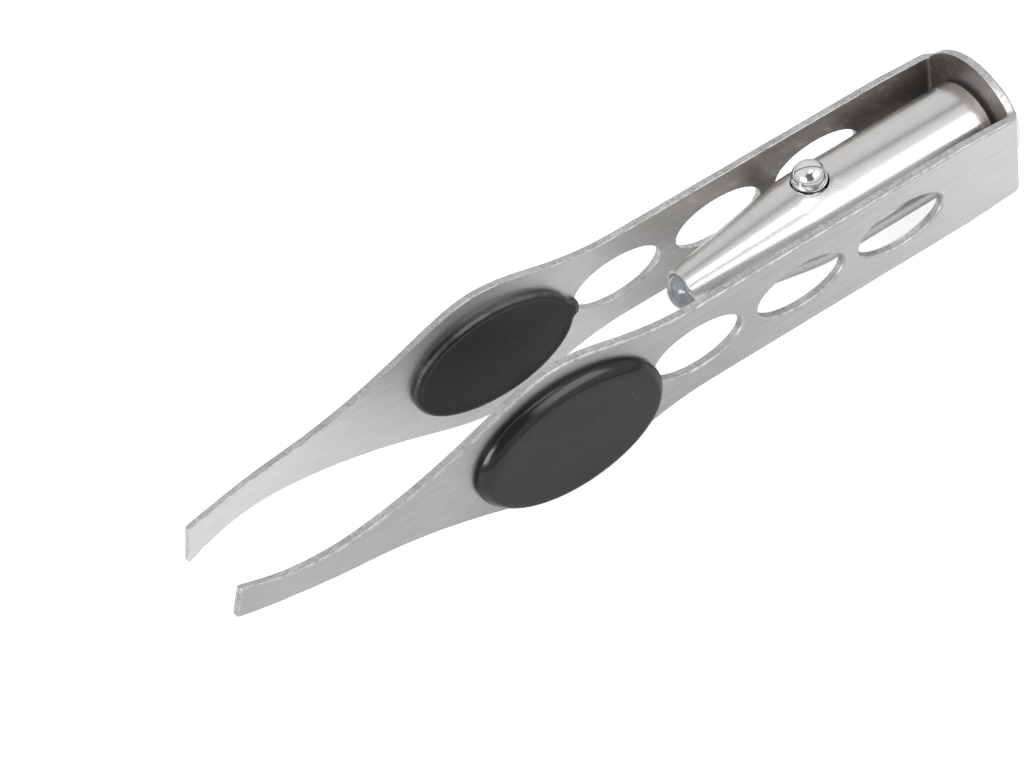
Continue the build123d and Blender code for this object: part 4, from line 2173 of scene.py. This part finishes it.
@dataclass
class InnerPieces:
    """Pieces that keep the frame's own solids and get a finish."""

    finish_of: dict[str, str] = field(
        default_factory=lambda: {
            "sealing_ring": "seal_rubber",
            "contact_spring": "spring_wire",
            "rear_cell": "cell_steel",
            "middle_cell": "cell_steel",
            "front_cell": "cell_steel",
            "cell_sleeve": "sleeve_film",
            "front_contact": "contact_brass",
            "ground_contact": "contact_brass",
            "carrier": "carrier_nylon",
            "circuit_board": "board_laminate",
            "switch_body": "switch_plastic",
            "switch_cover": "switch_metal",
            "switch_terminals": "switch_metal",
            "switch_plunger": "plunger_plastic",
            "led_cathode": "tinned_lead",
            "led_anode": "tinned_lead",
            "led_chip": "phosphor",
        }
    )

    def dress(self, rack: FinishRack) -> list[bpy.types.Object]:
        """Gives each solid its finish.

        Args:
            rack: The finishes.

        Returns:
            The solids that were dressed.
        """
        made = []
        for name, finish in self.finish_of.items():
            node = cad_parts[name]
            node.data.materials.clear()
            node.data.materials.append(rack.take(finish))
            made.append(node)
        return made


# ------------------------------------------------------------------------------------ studio


@dataclass(frozen=True)
class Lamp:
    """One soft lamp that looks at the tweezers: its place, power in watts, width and height."""

    name: str
    at: Triple
    power: float
    size: Flat

    def build(self) -> None:
        """Adds the lamp."""
        data = bpy.data.lights.new(self.name, "AREA")
        data.shape, data.energy = "RECTANGLE", self.power
        data.size, data.size_y = self.size
        made = add_to_scene(self.name, data)
        made.location = self.at
        made.rotation_mode = "QUATERNION"
        made.rotation_quaternion = (-Vector(self.at)).to_track_quat("-Z", "Y")


@dataclass
class Studio:
    """Camera, floor, lamps and the surround that the metal mirrors."""

    camera_at: Triple = (-0.10498562, -0.18545658, 0.21353825)
    camera_right: Triple = (0.81459773, -0.56311771, -0.13902869)
    camera_up: Triple = (0.48392644, 0.5276821, 0.69811661)
    camera_back: Triple = (-0.31975887, -0.63596387, 0.70235619)
    lens: float = 112.1156
    sensor: float = 36.0
    clip: Flat = (0.01, 20.0)
    floor_half: float = 3.0
    floor_colour: Colour = (0.86, 0.86, 0.86)
    floor_lift: float = 1.02
    floor_grain: float = 300.0
    floor_roughness: float = 0.9
    shown_white: float = 0.72
    mirrored_share: float = 0.12
    sky: tuple[Flat, ...] = ((0.0, 0.3), (0.05, 0.3), (0.12, 0.85), (0.5, 0.95), (1.0, 0.9))
    front_sky: float = 0.84
    seam_sky: float = 0.28
    back_sky: float = 0.80
    back_direction: Triple = (0.505, 0.829, 0.24)
    seam: Flat = (0.52, 0.62)
    seam_blur: float = 0.04
    card_direction: Triple = (-0.32, -0.64, 0.70)
    card_edge: Flat = (0.84, 0.94)
    card_level: float = 0.20
    lamps: tuple[Lamp, ...] = (
        Lamp("right_lamp", (0.38, -0.665, 0.642), 2.6, (0.80, 0.46)),
        Lamp("left_lamp", (-0.86, -0.25, 0.42), 4.2, (0.60, 0.40)),
        Lamp("top_lamp", (0.06, -0.27, 0.96), 0.9, (0.45, 0.22)),
    )

    def camera(self) -> None:
        """Adds the camera at the photograph's viewing angle."""
        data = bpy.data.cameras.new("camera")
        data.lens, data.sensor_width, data.sensor_fit = self.lens, self.sensor, "HORIZONTAL"
        data.clip_start, data.clip_end = self.clip
        made = add_to_scene("camera", data)
        turn = Matrix((self.camera_right, self.camera_up, self.camera_back)).transposed().to_4x4()
        made.matrix_world = Matrix.Translation(self.camera_at) @ turn
        bpy.context.scene.camera = made

    def floor_material(self) -> bpy.types.Material:
        """Pale matt floor that shows nearly white to the camera and keeps the shadow.

        Returns:
            The material.
        """
        recipe = Recipe("pale_floor")
        grain = recipe.noise(Space.OBJECT, self.floor_grain, detail=2.0)
        lighter = tuple(level * self.floor_lift for level in self.floor_colour)
        recipe.set(
            Base_Color=recipe.blend(grain, self.floor_colour, lighter),
            Roughness=self.floor_roughness,
            Specular_IOR_Level=0.0,
        )
        rays = recipe.node("ShaderNodeLightPath").outputs
        seen = recipe.combine("MAXIMUM", rays["Is Camera Ray"], rays["Is Transmission Ray"])
        mirrored = recipe.combine("MULTIPLY", rays["Is Glossy Ray"], self.mirrored_share)
        seen = recipe.combine("MAXIMUM", seen, mirrored)
        glow = recipe.node("ShaderNodeEmission")
        glow.inputs["Color"].default_value = WHITE
        recipe.feed(glow.inputs["Strength"], recipe.combine("MULTIPLY", seen, self.shown_white))
        total = recipe.node("ShaderNodeAddShader")
        recipe.feed(total.inputs[0], recipe.shader.outputs[0])
        recipe.feed(total.inputs[1], glow.outputs[0])
        output = next(node for node in recipe.tree.nodes if node.type == "OUTPUT_MATERIAL")
        recipe.feed(output.inputs["Surface"], total.outputs[0])
        return recipe.material

    def floor(self) -> None:
        """Adds the floor."""
        skin = Skin("floor")
        half = self.floor_half
        signs = ((-1, -1), (1, -1), (1, 1), (-1, 1))
        corners = skin.ring([Vector((x * half, y * half, 0)) for x, y in signs])
        skin.mesh.faces.new(corners)
        made = skin.object([self.floor_material()])

    def world(self) -> None:
        """Sets the surround: soft sky, a dark seam behind the tweezers, a dim card in front.

        The metal mirrors all of it. The camera itself sees plain white in its place.
        """
        world = bpy.data.worlds.new("surround")
        world.use_nodes = True
        bpy.context.scene.world = world
        graph = Graph(world.node_tree)
        aim = graph.node("ShaderNodeTexCoord").outputs["Generated"]
        start, end = self.seam
        stops = (
            (0.0, self.front_sky),
            (start - self.seam_blur, self.front_sky),
            (start, self.seam_sky),
            (end, self.seam_sky),
            (end + self.seam_blur, self.back_sky),
            (1.0, self.back_sky),
        )
        walls = graph.greys(graph.facing(aim, self.back_direction), stops)
        edge, full = self.card_edge
        towards = graph.facing(aim, self.card_direction)
        card = graph.span(towards, (edge, 1.0), (full, self.card_level))
        mirrored = graph.tree.nodes["Background"]
        graph.feed(mirrored.inputs["Color"], graph.greys(graph.axis(aim, "Z"), self.sky))
        graph.feed(mirrored.inputs["Strength"], graph.combine("MULTIPLY", walls, card))
        plain = graph.node("ShaderNodeBackground")
        plain.inputs["Color"].default_value = WHITE
        shown = graph.node("ShaderNodeMixShader")
        rays = graph.node("ShaderNodeLightPath").outputs
        graph.feed(shown.inputs["Fac"], rays["Is Camera Ray"])
        graph.feed(shown.inputs[1], mirrored.outputs[0])
        graph.feed(shown.inputs[2], plain.outputs[0])
        graph.feed(graph.tree.nodes["World Output"].inputs["Surface"], shown.outputs[0])

    def build(self) -> None:
        """Sets up the whole studio."""
        self.camera()
        self.floor()
        self.world()
        for lamp in self.lamps:
            lamp.build()
        bpy.context.scene.view_settings.view_transform = "Standard"


def main() -> None:
    """Builds the studio and dresses the tweezers, sub-assembly by sub-assembly."""
    logging.basicConfig(level=logging.INFO, format="%(name)s: %(message)s")
    rack = FinishRack()
    rack.fill()
    Studio().build()
    pieces = SteelStrip().build(rack) + RubberGrips().build(rack) + Torch().build(rack)
    pieces += InnerPieces().dress(rack)
    for piece in pieces:
        LOG.info("piece %s: %d faces", piece.name, len(piece.data.polygons))


if __name__ == "__main__":
    main()
